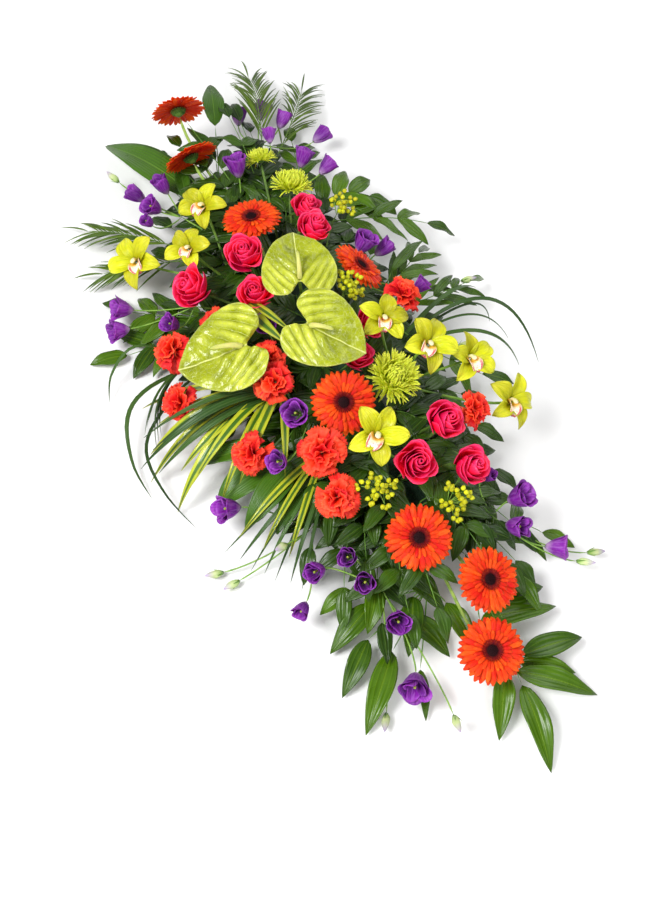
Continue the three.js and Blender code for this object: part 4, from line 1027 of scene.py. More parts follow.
# Each spray: its foot, its fork, and its heads: the middle, the way it faces, and its size, 0 for a bud.
LISIANTHUS = [
    ((-0.322, 0.030, 0.050), (-0.600, 0.100, 0.078), [
        ((-0.712, 0.100, 0.060), (-0.8, 0.3, 0.5), 1.0), ((-0.714, 0.158, 0.055), (-0.8, 0.5, 0.3), 1.0),
        ((-0.662, 0.186, 0.070), (-0.5, 0.6, 0.6), 1.0), ((-0.598, 0.252, 0.060), (-0.3, 0.9, 0.3), 1.0)]),
    ((-0.262, 0.032, 0.044), (-0.430, 0.110, 0.110), [
        ((-0.578, 0.112, 0.118), (-0.8, 0.2, 0.55), 0.8), ((-0.466, 0.140, 0.150), (-0.4, 0.4, 0.8), 1.0),
        ((-0.452, 0.192, 0.122), (-0.3, 0.8, 0.5), 1.0)]),
    ((-0.290, -0.006, 0.040), (-0.420, -0.020, 0.135), [((-0.448, -0.020, 0.190), (-0.4, -0.1, 0.9), 1.15)]),
    ((-0.318, -0.026, 0.050), (-0.440, -0.140, 0.090), [
        ((-0.506, -0.156, 0.122), (-0.4, -0.4, 0.8), 1.0), ((-0.532, -0.204, 0.084), (-0.5, -0.7, 0.5), 1.0),
        ((-0.462, -0.192, 0.112), (-0.1, -0.7, 0.7), 1.0), ((-0.394, -0.226, 0.150), (-0.1, -0.6, 0.8), 0.7),
        ((-0.610, -0.222, 0.060), (-0.8, -0.5, 0.3), 0)]),
    ((-0.160, -0.034, 0.050), (-0.215, -0.200, 0.090), [
        ((-0.278, -0.322, 0.058), (-0.2, -0.9, 0.3), 1.0), ((-0.236, -0.344, 0.050), (0, -0.95, 0.2), 1.0),
        ((-0.166, -0.262, 0.120), (0, -0.7, 0.7), 0.9)]),
    ((-0.100, 0.034, 0.046), (-0.140, 0.110, 0.140), [
        ((-0.176, 0.134, 0.196), (-0.1, 0.5, 0.85), 1.1), ((-0.172, 0.182, 0.168), (0, 0.8, 0.6), 1.0),
        ((-0.062, 0.205, 0.170), (0, 0.7, 0.7), 0.8), ((0.074, 0.232, 0.138), (0.2, 0.8, 0.5), 0),
        ((-0.116, 0.362, 0.066), (0.1, 0.95, 0.1), 0)]),
    ((0.252, 0.034, 0.044), (0.400, 0.130, 0.090), [
        ((0.396, 0.176, 0.130), (0.3, 0.5, 0.8), 1.15), ((0.440, 0.150, 0.112), (0.6, 0.3, 0.7), 1.1),
        ((0.486, 0.226, 0.062), (0.5, 0.7, 0.3), 1.0), ((0.522, 0.262, 0.046), (0.5, 0.8, 0.2), 0),
        ((0.352, 0.128, 0.158), (0.3, 0.4, 0.85), 0.7), ((0.507, 0.300, 0.030), (0.3, 0.9, 0.1), 0)]),
    ((0.062, -0.022, 0.040), (0.120, -0.110, 0.120), [
        ((0.140, -0.150, 0.196), (0.3, -0.5, 0.85), 1.1), ((0.200, -0.205, 0.160), (0.2, -0.7, 0.7), 0.9),
        ((-0.050, -0.125, 0.200), (0.3, -0.3, 0.9), 0.9)]),
    ((0.196, -0.034, 0.050), (0.300, -0.180, 0.070), [
        ((0.212, -0.300, 0.078), (0, -0.9, 0.4), 1.1), ((0.322, -0.245, 0.096), (0.3, -0.8, 0.5), 0),
        ((0.428, -0.252, 0.062), (0.6, -0.7, 0.3), 0.8), ((0.293, -0.350, 0.014), (-0.1, -0.95, 0.1), 0),
        ((0.322, -0.330, 0.014), (0.2, -0.95, 0.1), 0)]),
    ((0.318, -0.024, 0.052), (0.450, -0.115, 0.075), [
        ((0.388, -0.214, 0.104), (0.3, -0.7, 0.6), 1.05), ((0.396, -0.162, 0.136), (0.3, -0.5, 0.8), 0.95),
        ((0.442, -0.150, 0.122), (0.4, -0.4, 0.8), 1.1), ((0.520, -0.125, 0.108), (0.6, -0.3, 0.75), 1.1),
        ((0.618, -0.135, 0.066), (0.7, -0.5, 0.4), 1.15), ((0.694, -0.094, 0.050), (0.9, -0.2, 0.3), 0),
        ((0.640, -0.190, 0.016), (0.8, -0.5, 0.1), 0)]),
]


def bell(place):
    """A lisianthus bell: an inner and an outer whorl of swirled petals, and its sepals."""
    open_by = draw.uniform(0.62, 1.0)
    petals = []
    for i in range(INNER_PETALS + OUTER_PETALS):
        outer = i >= INNER_PETALS
        count = OUTER_PETALS if outer else INNER_PETALS
        mouth = BELL_LENGTH * (0.50 if outer else 0.34) * open_by
        belly = BELL_LENGTH * (0.40 if outer else 0.28)
        high = BELL_LENGTH * (0.34 + 0.06 * draw.random())
        turn = place @ about(2 * math.pi * i / count + draw.uniform(-0.1, 0.1))
        ruffle = draw.uniform(0.0010, 0.0024)
        flare = 0.006 * open_by - 0.002
        petals.append(cupped(1.15, belly, mouth, -BELL_LENGTH * 0.6, high, flare, ruffle, bell_skin, turn,
                             draw.random()))
    return [thickened(petals, PETAL_WALL), turned(6, PISTIL, pistil_skin, place),
            sepals(5, 0.002, -BELL_LENGTH * 0.62, 0.022, 0.003, -0.15, sprig_leaf, place)]


def furled(angle, along):
    """A point on a bud: its petals are wound round each other up to a closed tip."""
    size = 0.2 * BUD_LENGTH * math.sin(math.pi * along**0.7) ** 0.8 + 1e-7
    size *= 1 + 0.10 * math.cos(3 * angle + 7 * along)
    return Vector((size * math.cos(angle), size * math.sin(angle), BUD_LENGTH * (along - 0.4)))


def bud(place):
    """A furled bud with its sepals."""
    return [tube(10, 10, furled, bud_skin, place, draw.random()),
            sepals(5, 0.002, -BUD_LENGTH * 0.42, 0.017, 0.0026, -0.25, sprig_leaf, place)]


# The pale lilac vein streaks are partly the petals' own veining and partly a painted sheen on their outer
# faces.
bell_skin = petal_finish("lisianthus_petal", (0.58, 0.40, 0.64), (0.165, 0.010, 0.27), (0.20, 0.014, 0.31),
                         (0.38, 0.15, 0.52), veins=7.0, streak=0.40, gloss=0.40, soft=0.06, rim=0.7)
bud_skin = petal_finish("lisianthus_bud", (0.22, 0.40, 0.06), (0.46, 0.54, 0.24), (0.40, 0.26, 0.60),
                        (0.62, 0.68, 0.40), veins=6.0)
pistil_skin = petal_finish("lisianthus_pistil", (0.30, 0.45, 0.05), (0.62, 0.62, 0.08), (0.75, 0.70, 0.12),
                           (0.5, 0.5, 0.1))
sprig_leaf = petal_finish("lisianthus_sepal", (0.16, 0.32, 0.05), (0.14, 0.32, 0.05), (0.26, 0.44, 0.10),
                          (0.26, 0.44, 0.12), soft=0.03)
thin_stem = stem_finish("lisianthus_stem", (0.26, 0.44, 0.07), (0.14, 0.30, 0.04))
for number, (foot, fork, heads) in enumerate(LISIANTHUS, 1):
    foot, fork = Vector(foot), Vector(fork)
    parts = [stem(lambda share: foot.lerp(fork, share), THIN_STEM, thin_stem, 8, 6)]
    for at, face, size in heads:
        look = Vector(face).normalized()
        place = facing(at, face, draw.uniform(0, 6), size or 1)
        parts += bell(place) if size else bud(place)
        depth = BELL_LENGTH * 0.55 * size if size else BUD_LENGTH * 0.3
        parts.append(branch(foot, fork, Vector(at) - look * depth, look, SIDE_STEM, thin_stem))
    planted(f"lisianthus_spray_{number}", "lisianthus", parts, f"lisianthus_{number}")

# Hypericum: woody stems that end in clusters of small, hard, yellow-green berries, which stand in
# twos and threes at the tips of short twigs.
BERRY_RADIUS = 0.0044
BERRY_TWIGS = 14
BERRY_TWIG = 0.0007
BERRY_SPREAD = 0.030
BERRY_DEPTH = 0.024
BERRIES = [
    ((-0.038, 0.026, 0.262), (0.1, 0.2, 0.95), 0.9),
    ((-0.276, 0.132, 0.200), (-0.2, 0.5, 0.85), 0.9),
    ((0.325, -0.082, 0.196), (0.4, -0.3, 0.87), 1.0),
    ((0.388, 0.032, 0.190), (0.4, 0.1, 0.9), 1.0),
]
berry_skin = petal_finish("hypericum_berry", (0.30, 0.34, 0.005), (0.58, 0.58, 0.008), (0.72, 0.68, 0.02),
                          (0.76, 0.74, 0.06), gloss=0.24, soft=0.05)
berry_share = [(0, 1.3), (0.35, 1.05), (0.8, 0.55), (1, 0), (0.85, -0.6), (0.4, -0.95), (0, -1)]
berry = [(radius * BERRY_RADIUS, height * BERRY_RADIUS) for radius, height in berry_share]
for number, (at, face, size) in enumerate(BERRIES, 1):
    look = Vector(face).normalized()
    fork = Vector(at) - look * BERRY_DEPTH * size
    parts = [own_stem(at, face, size, BERRY_DEPTH, THIN_STEM, woody_stem)]
    for i in range(BERRY_TWIGS):
        spread = BERRY_SPREAD * size * math.sqrt((i + 0.3) / BERRY_TWIGS) * draw.uniform(0.85, 1.1)
        turn = i * GOLDEN_ANGLE + draw.uniform(-0.5, 0.5)
        high = 0.008 - 12 * spread**2 + draw.uniform(-0.014, 0.010)
        tip = facing(at, look) @ Vector((spread * math.cos(turn), spread * math.sin(turn), high))
        start = fork - look * 0.004
        out = (tip - fork).normalized()
        parts.append(stem(arc(start, tip - out * 0.014, tip), BERRY_TWIG, thin_stem, 5, 4))
        for j in range(2 + i % 2):
            aside = out.orthogonal().normalized()
            aside.rotate(Quaternion(out, 2.1 * j + draw.uniform(-0.5, 0.5)))
            spot = tip + aside * 0.0052 + out * draw.uniform(-0.006, 0.006)
            axis = (out + aside * 0.8).normalized()
            parts.append(turned(8, berry, berry_skin, facing(spot, axis, i + j), draw.random()))
    planted(f"hypericum_cluster_{number}", "hypericum", parts, f"hypericum_{number}")

# Palm fronds: feathery side branches whose narrow leaflets stand in two rows on an arching rib.
# Each pair is cut with its stalk, which is pushed into the foam at the head end or the near flank.
LEAF_FLOOR = 0.004
LEAFLET_WALL = 0.0007


def leaf_finish(name, dark, light, vein, veins=7.0, gloss=0.22):
    """Leaf skin: glossy green with pale lengthwise veins and a midrib, patchy and tinted leaf by leaf."""

    def paint(start):
        across, along = start.edges()
        place = start.place()
        tint = start.tint()
        patch = start.grain(place, 30.0, 4.0)
        ridge = start.sum("SINE", abs(across - 0.5) * (6.283 * veins) + along * 0.8)
        vein_line = ridge.step(0.75, 1.0)
        midrib = 1 - abs(across - 0.5).step(0.012, 0.035)
        body = (patch * 0.5 + tint * 0.7 - 0.1).mix(dark, light)
        lined = (vein_line * 0.20 + midrib * 0.50).mix(body, vein)
        return {
            "Base Color": lined,
            "Roughness": gloss + 0.2 * patch,
            "Specular IOR Level": 0.28,
            "Normal": start.bump(ridge * 0.5 - midrib * 2.0 + patch, 0.0006),
            "Coat Weight": 0.10,
            "Coat Roughness": 0.15,
        }

    return finish(name, paint)


def leaf_outline(along, widest=0.42):
    """The outline of a pointed leaf: its share of the full width."""
    power = math.log(0.5) / math.log(widest)
    return math.sin(math.pi * along**power) ** 0.85 + 0.012


def blade(route, width, outline, material, columns=6, rows=12, fold=0.25, wave=0.0, tint=0.5, roll=0.0):
    """A leaf along a route: folded along its midrib, wavy at its edges."""
    phase = draw.uniform(0, 6)

    def form(across, along):
        heading = heading_of(route, along)
        side = heading.cross(UP).normalized()
        over = side.cross(heading)
        half = width / 2 * outline(along)
        lift = fold * abs(across) * half + wave * across**2 * math.sin(9 * along + phase) * half
        turn = roll * along
        flat = side * math.cos(turn) + over * math.sin(turn)
        proud = over * math.cos(turn) - side * math.sin(turn)
        point = route(along) + flat * across * half + proud * lift
        point.z = max(point.z, LEAF_FLOOR)
        return point

    return sheet(columns, rows, form, material, tint=tint)


def leaf_route(start, heading, length, droop):
    """A leaf's way: it leaves sideways, arches and droops."""
    tip = start + heading * length
    tip.z = max(tip.z - droop * length, LEAF_FLOOR + 0.002)
    bend = start.lerp(tip, 0.5)
    bend.z += length * 0.14
    return arc(start, bend, tip)


# The flowers that leaves keep out of: the middle and the reach of each.
head_places = []
for at, face, size in GERBERAS:
    head_places.append((Vector(at) - Vector(face).normalized() * 0.010, GERBERA_RADIUS * 0.75))
head_places += [(Vector(at), 0.058) for at, *rest in ANTHURIUMS]
head_places += [(Vector(at), 0.045 * size) for at, face, size in CHRYSANTHEMUMS]
for group in (*ORCHID_SPIKES, *ROSE_PAIRS, *CARNATION_PAIRS):
    head_places += [(Vector(at), 0.036 * size) for at, face, size, *spin in group]
for plan in LISIANTHUS:
    head_places += [(Vector(at), 0.022) for at, face, size in plan[2]]


def is_clear(route):
    """True where a leaf keeps out of the flowers and the foam."""
    for share in (0.35, 0.6, 0.8, 1.0):
        point = route(share)
        if any((point - middle).length < reach for middle, reach in head_places):
            return False
        if abs(point.x) < FOAM_HALF_LENGTH and abs(point.y) < FOAM_HALF_WIDTH and point.z < FOAM_TOP:
            return False
    return True


def twig(route, leaves, length, width, angle, skin, wood, cells=(6, 12), wave=0.22):
    """A twig and its leaves in pairs, each turned until it keeps clear of the flowers."""
    blades = []
    for i in range(leaves * 2 + 1):
        is_tip = i == leaves * 2
        share = 0.96 if is_tip else 0.3 + 0.6 * (i // 2) / leaves
        heading = heading_of(route, share)
        side = heading.cross(UP).normalized() * (1 if i % 2 == 0 else -1)
        for attempt in range(8):
            turn = 0 if is_tip else angle * draw.uniform(0.85, 1.25)
            way = heading * math.cos(turn) + side * math.sin(turn)
            way.z += 0.22 * (draw.random() - 0.45)
            size = length * (1.12 - 0.3 * share) * (1 - 0.06 * attempt) * draw.uniform(0.88, 1.06)
            leaf = leaf_route(route(share), way.normalized(), size, draw.uniform(0.1, 0.3))
            if is_clear(leaf):
                tint, roll = draw.random(), draw.uniform(-0.5, 0.5)
                blades.append(blade(leaf, width, leaf_outline, skin, *cells, 0.25, wave, tint, roll))
                break
    return blades, [stem(route, SIDE_STEM, wood, 12, 6, taper=0.5)]


def laid_leaf(start, points, skin, wood):
    """A leaf on a stalk from start: it arches from its base to its tip, with a width in millimetres."""
    base, tip, width = Vector(points[0]), Vector(points[1]), points[2] / 1000
    bend = base.lerp(tip, 0.45) + UP * (tip - base).length * 0.16
    roll, fold = draw.uniform(-0.35, 0.35), draw.uniform(0.15, 0.4)
    leaf = blade(arc(base, bend, tip), width, leaf_outline, skin, 8, 14, fold, 0.18, draw.random(), roll)
    return leaf, stem(arc(start, start.lerp(base, 0.6) + UP * 0.012, base), SIDE_STEM, wood, 8, 6, taper=0.3)


def leafy_bunch(name, slot, foot, fork, twigs, skin, wood, *replaced, laid=(), **shape):
    """A bunch of foliage: its trunk stands in the foam and its twigs leave from a fork."""
    foot, fork = Vector(foot), Vector(fork)
    start = fork + (foot - fork).normalized() * THIN_STEM * 3
    solids = [stem(lambda share: foot.lerp(fork, share), THIN_STEM, wood, 5, 6)]
    blades = []
    for bend, tip, leaves, length, width, angle in twigs:
        route = arc(start, Vector(bend), Vector(tip))
        made, wooden = twig(route, leaves, length, width, angle, skin, wood, **shape)
        blades += made
        solids += wooden
    for points in laid:
        leaf, stalk = laid_leaf(start, points, skin, wood)
        blades.append(leaf)
        solids.append(stalk)
    return planted(name, slot, [thickened(blades, LEAFLET_WALL)] + solids, *replaced)


palm_skin = leaf_finish("palm_leaflet", (0.03, 0.08, 0.004), (0.14, 0.24, 0.015), (0.22, 0.34, 0.04),
                        2.0, 0.35)
palm_rib = stem_finish("palm_rib", (0.16, 0.28, 0.04), (0.07, 0.15, 0.02))
leafy_bunch("palm_bunch_1", "palm", (-0.318, 0.008, 0.044), (-0.480, 0.060, 0.078), [
    ((-0.680, 0.140, 0.128), (-0.850, 0.180, 0.034), 20, 0.142, 0.0040, 0.33),
    ((-0.640, 0.210, 0.100), (-0.775, 0.285, 0.032), 20, 0.134, 0.0040, 0.36),
], palm_skin, palm_rib, "palm_fronds_1", cells=(2, 8), wave=0)
leafy_bunch("palm_bunch_2", "palm", (-0.250, -0.030, 0.050), (-0.340, -0.130, 0.070), [
    ((-0.430, -0.230, 0.090), (-0.520, -0.318, 0.024), 16, 0.092, 0.0046, 0.4),
    ((-0.360, -0.240, 0.070), (-0.400, -0.325, 0.024), 12, 0.082, 0.0046, 0.4),
], palm_skin, palm_rib, "palm_fronds_2", cells=(2, 8), wave=0)

# Broad leaves: long dark aspidistra blades, ribbed from end to end, that arch out from the foam.
# Each grows on a thin stalk of its own, and the stalks of a bunch leave from one stem.
BLADE_WALL = 0.0008


def smooth_route(points):
    """A route through points, as a long blade takes it."""
    return lambda share: through(points, min(share, 1))


def long_bunch(name, slot, foot, fork, blades, skin, wood, outline, *replaced, columns=8, wave=0.08,
               laid=()):
    """Long blades that arch from one fork: each has its points and a width. Laid leaves have stalks."""
    foot, fork = Vector(foot), Vector(fork)
    start = fork + (foot - fork).normalized() * THIN_STEM * 3
    made = []
    for *points, width in blades:
        points = [start] + [Vector(point) for point in points]
        route = arc(*points) if len(points) == 3 else smooth_route(points)
        roll = draw.uniform(-0.3, 0.3)
        made.append(blade(route, width, outline, skin, columns, 22, 0.18, wave, draw.random(), roll))
    solids = [stem(lambda share: foot.lerp(fork, share), THIN_STEM, wood, 5, 6)]
    for points in laid:
        leaf, stalk = laid_leaf(start, points, skin, wood)
        made.append(leaf)
        solids.append(stalk)
    return planted(name, slot, [thickened(made, BLADE_WALL)] + solids, *replaced)


def stalked_outline(along):
    """The outline of a broad leaf on a stalk."""
    if along < 0.16:
        return 0.07
    return 0.07 + 0.93 * leaf_outline((along - 0.16) / 0.84, 0.45)


broad_skin = leaf_finish("aspidistra_leaf", (0.010, 0.040, 0.002), (0.065, 0.17, 0.008), (0.14, 0.28, 0.03),
                         12.0, 0.2)
leaf_stalk = stem_finish("leaf_stalk", (0.12, 0.26, 0.03), (0.05, 0.13, 0.015))
long_bunch("aspidistra_leaves_1", "broad_leaf", (-0.322, -0.008, 0.050), (-0.420, -0.060, 0.072), [
    ((-0.600, -0.130, 0.100), (-0.752, -0.192, 0.012), 0.084),
], broad_skin, leaf_stalk, stalked_outline, "aspidistra_1", laid=[
    ((-0.640, 0.014, 0.112), (-0.784, 0.060, 0.092), 46),
    ((-0.556, -0.017, 0.100), (-0.654, -0.044, 0.110), 30),
    ((-0.480, -0.110, 0.080), (-0.600, -0.090, 0.090), 30),
])
long_bunch("aspidistra_leaves_2", "broad_leaf", (0.140, -0.036, 0.050), (0.160, -0.120, 0.076), [
    ((0.158, -0.240, 0.104), (0.182, -0.304, 0.036), 0.062),
    ((0.214, -0.216, 0.138), (0.252, -0.280, 0.060), 0.050),
    ((0.232, -0.182, 0.120), (0.288, -0.238, 0.076), 0.038),
], broad_skin, leaf_stalk, stalked_outline, "aspidistra_2", laid=[
    ((0.130, -0.216, 0.110), (0.106, -0.300, 0.060), 44),
    ((0.235, -0.150, 0.110), (0.300, -0.186, 0.070), 30),
])

# Variegated straps: arching ribbons, green along the middle with broad yellow margins.
# They fan out over the near flank from one short stem in the foam.


def strap_outline(along):
    """The outline of a ribbon that runs out to a long point."""
    return min(1.0, 0.25 + along * 3) * (1 - max(0.0, (along - 0.55) / 0.45) ** 1.7) + 0.02


def variegated(start):
    """Ribbon skin: green with fine streaks, and yellow outside a ragged line near each edge."""
    across, along = start.edges()
    tint = start.tint()
    lines = start.node("ShaderNodeCombineXYZ", None, {0: across * 14.0, 1: along * 2.0, 2: tint * 20.0})
    streak = start.grain(lines, 1.5, 3.0)
    margin = (abs(across - 0.5) * 2.0 + (streak - 0.5) * 0.7).step(0.30, 0.46)
    green = streak.mix((0.02, 0.09, 0.006), (0.09, 0.22, 0.015))
    yellow = streak.mix((0.36, 0.42, 0.006), (0.64, 0.68, 0.04))
    ridge = start.sum("SINE", across * 60.0)
    return {
        "Base Color": margin.mix(green, yellow),
        "Roughness": 0.28 + 0.15 * streak,
        "Normal": start.bump(ridge, 0.0003),
        "Coat Weight": 0.2,
    }


strap_skin = finish("variegated_strap", variegated)
long_bunch("variegated_strap_bunch", "variegated_leaf", (0.014, -0.032, 0.048), (0.020, -0.120, 0.092), [
    ((0.040, -0.280, 0.190), (0.032, -0.374, 0.022), 0.021),
    ((0.090, -0.290, 0.170), (0.156, -0.368, 0.012), 0.022),
    ((0.070, -0.250, 0.160), (0.104, -0.342, 0.060), 0.021),
    ((-0.040, -0.250, 0.120), (-0.072, -0.352, 0.016), 0.018),
    ((0.110, -0.190, 0.210), (0.176, -0.262, 0.080), 0.018),
    ((0.120, -0.160, 0.200), (0.205, -0.190, 0.110), 0.015),
    ((0.010, -0.250, 0.150), (-0.020, -0.340, 0.030), 0.016),
    ((0.080, -0.230, 0.185), (0.138, -0.334, 0.062), 0.019),
    ((0.104, -0.220, 0.180), (0.190, -0.300, 0.066), 0.017),
    ((0.030, -0.290, 0.150), (0.084, -0.392, 0.016), 0.016),
], strap_skin, leaf_stalk, strap_outline, "variegated_straps")

# Grass: long narrow blades that loop out from the flanks and lie back on the surface. Broader blades
# fan out beside the variegated straps, and two more straps cross the crown of the spray.
grass_skin = leaf_finish("lily_grass", (0.010, 0.04, 0.006), (0.06, 0.14, 0.02), (0.14, 0.24, 0.06),
                         3.0, 0.3)
long_bunch("grass_loops_right", "grass", (0.020, 0.034, 0.046), (0.020, 0.110, 0.090), [
    ((-0.030, 0.330, 0.300), (0.152, 0.356, 0.128), 0.008),
    ((0.040, 0.300, 0.210), (0.096, 0.372, 0.040), 0.008),
    ((-0.060, 0.260, 0.180), (-0.096, 0.372, 0.060), 0.009),
    ((-0.010, 0.300, 0.230), (0.047, 0.300, 0.150), 0.005),
    ((0.000, 0.280, 0.220), (0.070, 0.340, 0.110), 0.005),
], grass_skin, leaf_stalk, strap_outline, "grass_right", columns=4, wave=0.0)
long_bunch("grass_loops_left", "grass", (-0.084, -0.038, 0.052), (-0.108, -0.150, 0.058), [
    ((-0.112, -0.250, 0.042), (-0.078, -0.345, 0.062), (-0.034, -0.394, 0.054), (0.040, -0.410, 0.022),
     (0.112, -0.400, 0.008), 0.008),
    ((-0.090, -0.250, 0.036), (-0.030, -0.340, 0.030), (0.040, -0.384, 0.044), (0.120, -0.378, 0.026),
     (0.196, -0.348, 0.008), 0.006),
    ((-0.150, -0.240, 0.044), (-0.170, -0.330, 0.076), (-0.150, -0.384, 0.040), (-0.110, -0.404, 0.008),
     0.006),
] + [
    ((-0.120, -0.290 - 0.008 * i, 0.100), (-0.060 + 0.014 * i, -0.340 - 0.009 * (i % 4), 0.012), 0.0045)
    for i in range(7)
], grass_skin, leaf_stalk, strap_outline, "grass_left", columns=4, wave=0.0)
long_bunch("lily_straps", "grass", (0.036, -0.034, 0.046), (0.046, -0.112, 0.110), [
    ((0.050, -0.270, 0.215), (0.070, -0.405, 0.050), 0.014),
    ((0.044, -0.250, 0.190), (0.040, -0.372, 0.050), 0.013),
    ((0.060, -0.260, 0.180), (0.082, -0.376, 0.036), 0.014),
    ((0.030, -0.240, 0.205), (0.016, -0.380, 0.060), 0.012),
], grass_skin, leaf_stalk, strap_outline, columns=6, wave=0.0)
long_bunch("crown_straps", "variegated_leaf", (-0.130, -0.020, 0.044), (-0.136, -0.130, 0.170), [
    ((-0.060, -0.160, 0.235), (0.018, -0.118, 0.226), 0.026),
    ((-0.070, -0.140, 0.245), (0.004, -0.100, 0.232), 0.016),
], strap_skin, leaf_stalk, strap_outline, columns=6, wave=0.0)

# Ruscus: woody twigs of glossy, pointed leaves in pairs that trail at the foot and the flanks.
# Large single leaves on long stalks close the foot end. Each bunch stands in the foam by one stem.
ruscus_skin = leaf_finish("ruscus_leaf", (0.012, 0.046, 0.001), (0.078, 0.175, 0.002), (0.17, 0.30, 0.014),
                          5.0, 0.17)
ruscus_twig = stem_finish("ruscus_twig", (0.15, 0.30, 0.04), (0.07, 0.17, 0.02))
# Each bunch: its foot, its fork, its twigs (bend, tip, pairs of leaves, their length, width and angle)
# and its laid leaves (base, tip and width in millimetres).
RUSCUS = [
    ((-0.286, 0.034, 0.050), (-0.350, 0.100, 0.074), [
        ((-0.420, 0.190, 0.110), (-0.372, 0.262, 0.080), 3, 0.094, 0.034, 0.7),
        ((-0.300, 0.230, 0.130), (-0.262, 0.350, 0.084), 3, 0.098, 0.026, 0.6),
        ((-0.540, 0.170, 0.060), (-0.640, 0.200, 0.022), 4, 0.084, 0.028, 0.7)], [
        ((-0.392, 0.196, 0.090), (-0.300, 0.262, 0.078), 46)]),
    ((-0.060, 0.036, 0.050), (-0.080, 0.130, 0.074), [
        ((-0.160, 0.230, 0.120), (-0.212, 0.300, 0.070), 3, 0.104, 0.018, 0.4),
        ((-0.060, 0.260, 0.130), (-0.112, 0.372, 0.066), 3, 0.100, 0.018, 0.4),
        ((0.060, 0.220, 0.080), (0.090, 0.300, 0.030), 2, 0.092, 0.028, 0.7)], [
        ((-0.132, 0.180, 0.140), (-0.222, 0.306, 0.090), 22),
        ((-0.120, 0.190, 0.130), (-0.124, 0.290, 0.100), 20),
        ((-0.100, 0.230, 0.100), (-0.092, 0.330, 0.064), 16)]),
    ((0.322, 0.018, 0.050), (0.440, 0.060, 0.062), [
        ((0.380, 0.170, 0.070), (0.440, 0.236, 0.022), 2, 0.090, 0.026, 0.8)], [
        ((0.633, 0.067, 0.045), (0.638, 0.195, 0.020), 42),
        ((0.654, 0.045, 0.040), (0.736, 0.169, 0.010), 44),
        ((0.676, 0.047, 0.030), (0.820, 0.027, 0.008), 42),
        ((0.644, 0.027, 0.034), (0.740, -0.028, 0.010), 38),
        ((0.555, 0.026, 0.052), (0.573, 0.177, 0.030), 44),
        ((0.533, 0.070, 0.060), (0.533, 0.172, 0.034), 36),
        ((0.640, 0.060, 0.035), (0.690, 0.150, 0.020), 36),
        ((0.500, 0.110, 0.074), (0.580, 0.140, 0.040), 34)]),
    ((0.326, -0.006, 0.052), (0.470, -0.030, 0.048), [], [
        ((0.455, -0.132, 0.046), (0.500, -0.226, 0.012), 40),
        ((0.508, -0.162, 0.036), (0.576, -0.238, 0.008), 36),
        ((0.542, -0.133, 0.034), (0.648, -0.229, 0.008), 42),
        ((0.425, -0.061, 0.060), (0.512, -0.012, 0.030), 46),
        ((0.497, -0.082, 0.044), (0.583, -0.040, 0.020), 44),
        ((0.584, -0.098, 0.020), (0.665, -0.126, 0.008), 20),
        ((0.419, -0.156, 0.050), (0.433, -0.216, 0.024), 30),
        ((0.470, -0.060, 0.050), (0.560, -0.110, 0.030), 40),
        ((0.500, -0.010, 0.046), (0.600, -0.004, 0.044), 36),
        ((0.430, -0.110, 0.060), (0.500, -0.160, 0.040), 36)]),
    ((-0.140, -0.036, 0.052), (-0.180, -0.120, 0.066), [
        ((-0.230, -0.240, 0.050), (-0.300, -0.300, 0.014), 3, 0.090, 0.032, 0.8),
        ((-0.190, -0.250, 0.034), (-0.200, -0.345, 0.012), 3, 0.092, 0.032, 0.8)], []),
]
for number, (foot, fork, twigs, laid) in enumerate(RUSCUS, 1):
    leafy_bunch(f"ruscus_bunch_{number}", "ruscus", foot, fork, twigs, ruscus_skin, ruscus_twig,
                f"ruscus_{number}", laid=laid)

# Filler greens: short leafy sprigs pushed into the foam all over, so that leaves close the gaps between
# the flowers and hang over the tray's rim.
# Their leaves are painted darker than the other foliage: painted shade in the gaps between the flowers.
filler_skin = leaf_finish("filler_leaf", (0.005, 0.022, 0.001), (0.045, 0.11, 0.004), (0.10, 0.20, 0.02),
                          5.0, 0.2)
FILLER_BUNCHES = 13
FILLER_START = -0.588
FILLER_PITCH = 0.088
# How far out and how high the twigs of a bunch end.
FILLER_ROWS = [(0.10, 0.125), (0.165, 0.100), (0.225, 0.062)]
for number in range(FILLER_BUNCHES):
    middle = FILLER_START + FILLER_PITCH * number
    twigs = []
    for side in (-1, 1):
        for out, high in FILLER_ROWS:
            narrow = math.sqrt(max(0.22, 1 - (middle / 0.60) ** 2))
            tip = Vector((middle * 1.10 + draw.uniform(-0.03, 0.03), side * out * narrow, high))
            bend = tip * 0.6 + Vector((0, 0, high * 0.7))
            twigs.append((bend, tip, 4, 0.078, 0.028, 0.8))
    foot = Vector((min(max(middle * 0.66, -0.32), 0.32), 0.0, 0.06))
    fork = foot + Vector((middle * 0.08, 0.0, 0.034))
    leafy_bunch(f"filler_greens_{number + 1}", "ruscus", foot, fork, twigs, filler_skin, ruscus_twig,
                cells=(4, 8))

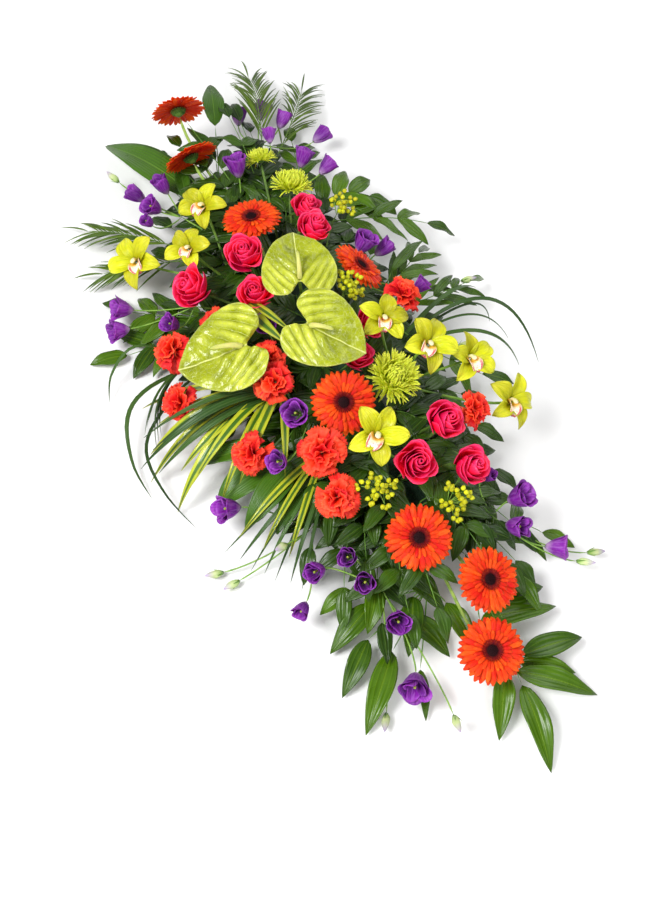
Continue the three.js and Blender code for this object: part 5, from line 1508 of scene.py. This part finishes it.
# Flank straps: a few yellow-edged ribbons and thin dark blades that hang down the near flank, between
# the carnations and the trailing bells. Each of the two bunches stands in the foam by one short stem.
long_bunch("flank_straps", "variegated_leaf", (0.150, -0.030, 0.046), (0.176, -0.104, 0.094), [
    ((0.222, -0.200, 0.146), (0.262, -0.296, 0.058), 0.014),
    ((0.240, -0.190, 0.150), (0.300, -0.268, 0.062), 0.012),
    ((0.268, -0.180, 0.138), (0.330, -0.232, 0.060), 0.012),
], strap_skin, leaf_stalk, strap_outline, columns=6, wave=0.0)
long_bunch("flank_grass", "grass", (0.184, -0.030, 0.046), (0.204, -0.104, 0.090), [
    ((0.236, -0.206, 0.132), (0.268, -0.324, 0.030), 0.007),
    ((0.248, -0.204, 0.140), (0.290, -0.306, 0.026), 0.009),
    ((0.256, -0.200, 0.130), (0.312, -0.292, 0.020), 0.006),
    ((0.264, -0.196, 0.138), (0.328, -0.274, 0.024), 0.008),
    ((0.276, -0.188, 0.128), (0.346, -0.262, 0.018), 0.006),
    ((0.288, -0.182, 0.134), (0.362, -0.240, 0.026), 0.008),
    ((0.296, -0.172, 0.120), (0.380, -0.226, 0.020), 0.006),
], grass_skin, leaf_stalk, strap_outline, columns=4, wave=0.0)

# The studio: a plain pale floor and soft light from three large panels, under a dim white sky.
# The camera looks down from the foot end, at the photograph's high three-quarter angle.
FLOOR_SIZE = 14
WORLD_STRENGTH = 0.42
CAMERA_PLACE = (1.0534, -0.7201, 1.7727)
CAMERA_TURN = (32.092, -6.728, 65.513)
CAMERA_LENS = 44.68
# Each panel: its name, place, side and power. All of them face the middle of the spray.
PANELS = [
    ("key_panel", (0.3, -2.2, 2.8), 1.2, 128),
    ("fill_panel", (-0.9, 2.4, 2.4), 2.4, 42),
    ("front_panel", (2.7, -0.3, 1.5), 1.4, 34),
]
bpy.ops.mesh.primitive_plane_add(size=FLOOR_SIZE, location=(0, 0, -0.0005))
floor = bpy.context.object
floor.name = "studio_floor"
white_paint = {"Base Color": (0.90, 0.90, 0.90, 1), "Roughness": 0.8}
floor.data.materials.append(finish("studio_floor", lambda start: white_paint))

world = bpy.data.worlds.new("studio")
world.use_nodes = True
world.node_tree.nodes["Background"].inputs["Color"].default_value = (1, 1, 1, 1)
world.node_tree.nodes["Background"].inputs["Strength"].default_value = WORLD_STRENGTH
bpy.context.scene.world = world

for name, place, size, power in PANELS:
    bpy.ops.object.light_add(type="AREA", location=place)
    panel = bpy.context.object
    panel.name = name
    panel.data.size = size
    panel.data.energy = power
    panel.rotation_euler = (-Vector(place)).to_track_quat("-Z", "Y").to_euler()

bpy.ops.object.camera_add(location=CAMERA_PLACE)
camera = bpy.context.object
camera.rotation_euler = [math.radians(angle) for angle in CAMERA_TURN]
camera.data.lens = CAMERA_LENS
camera.data.clip_start = 0.05
bpy.context.scene.camera = camera
bpy.context.scene.view_settings.view_transform = "Standard"
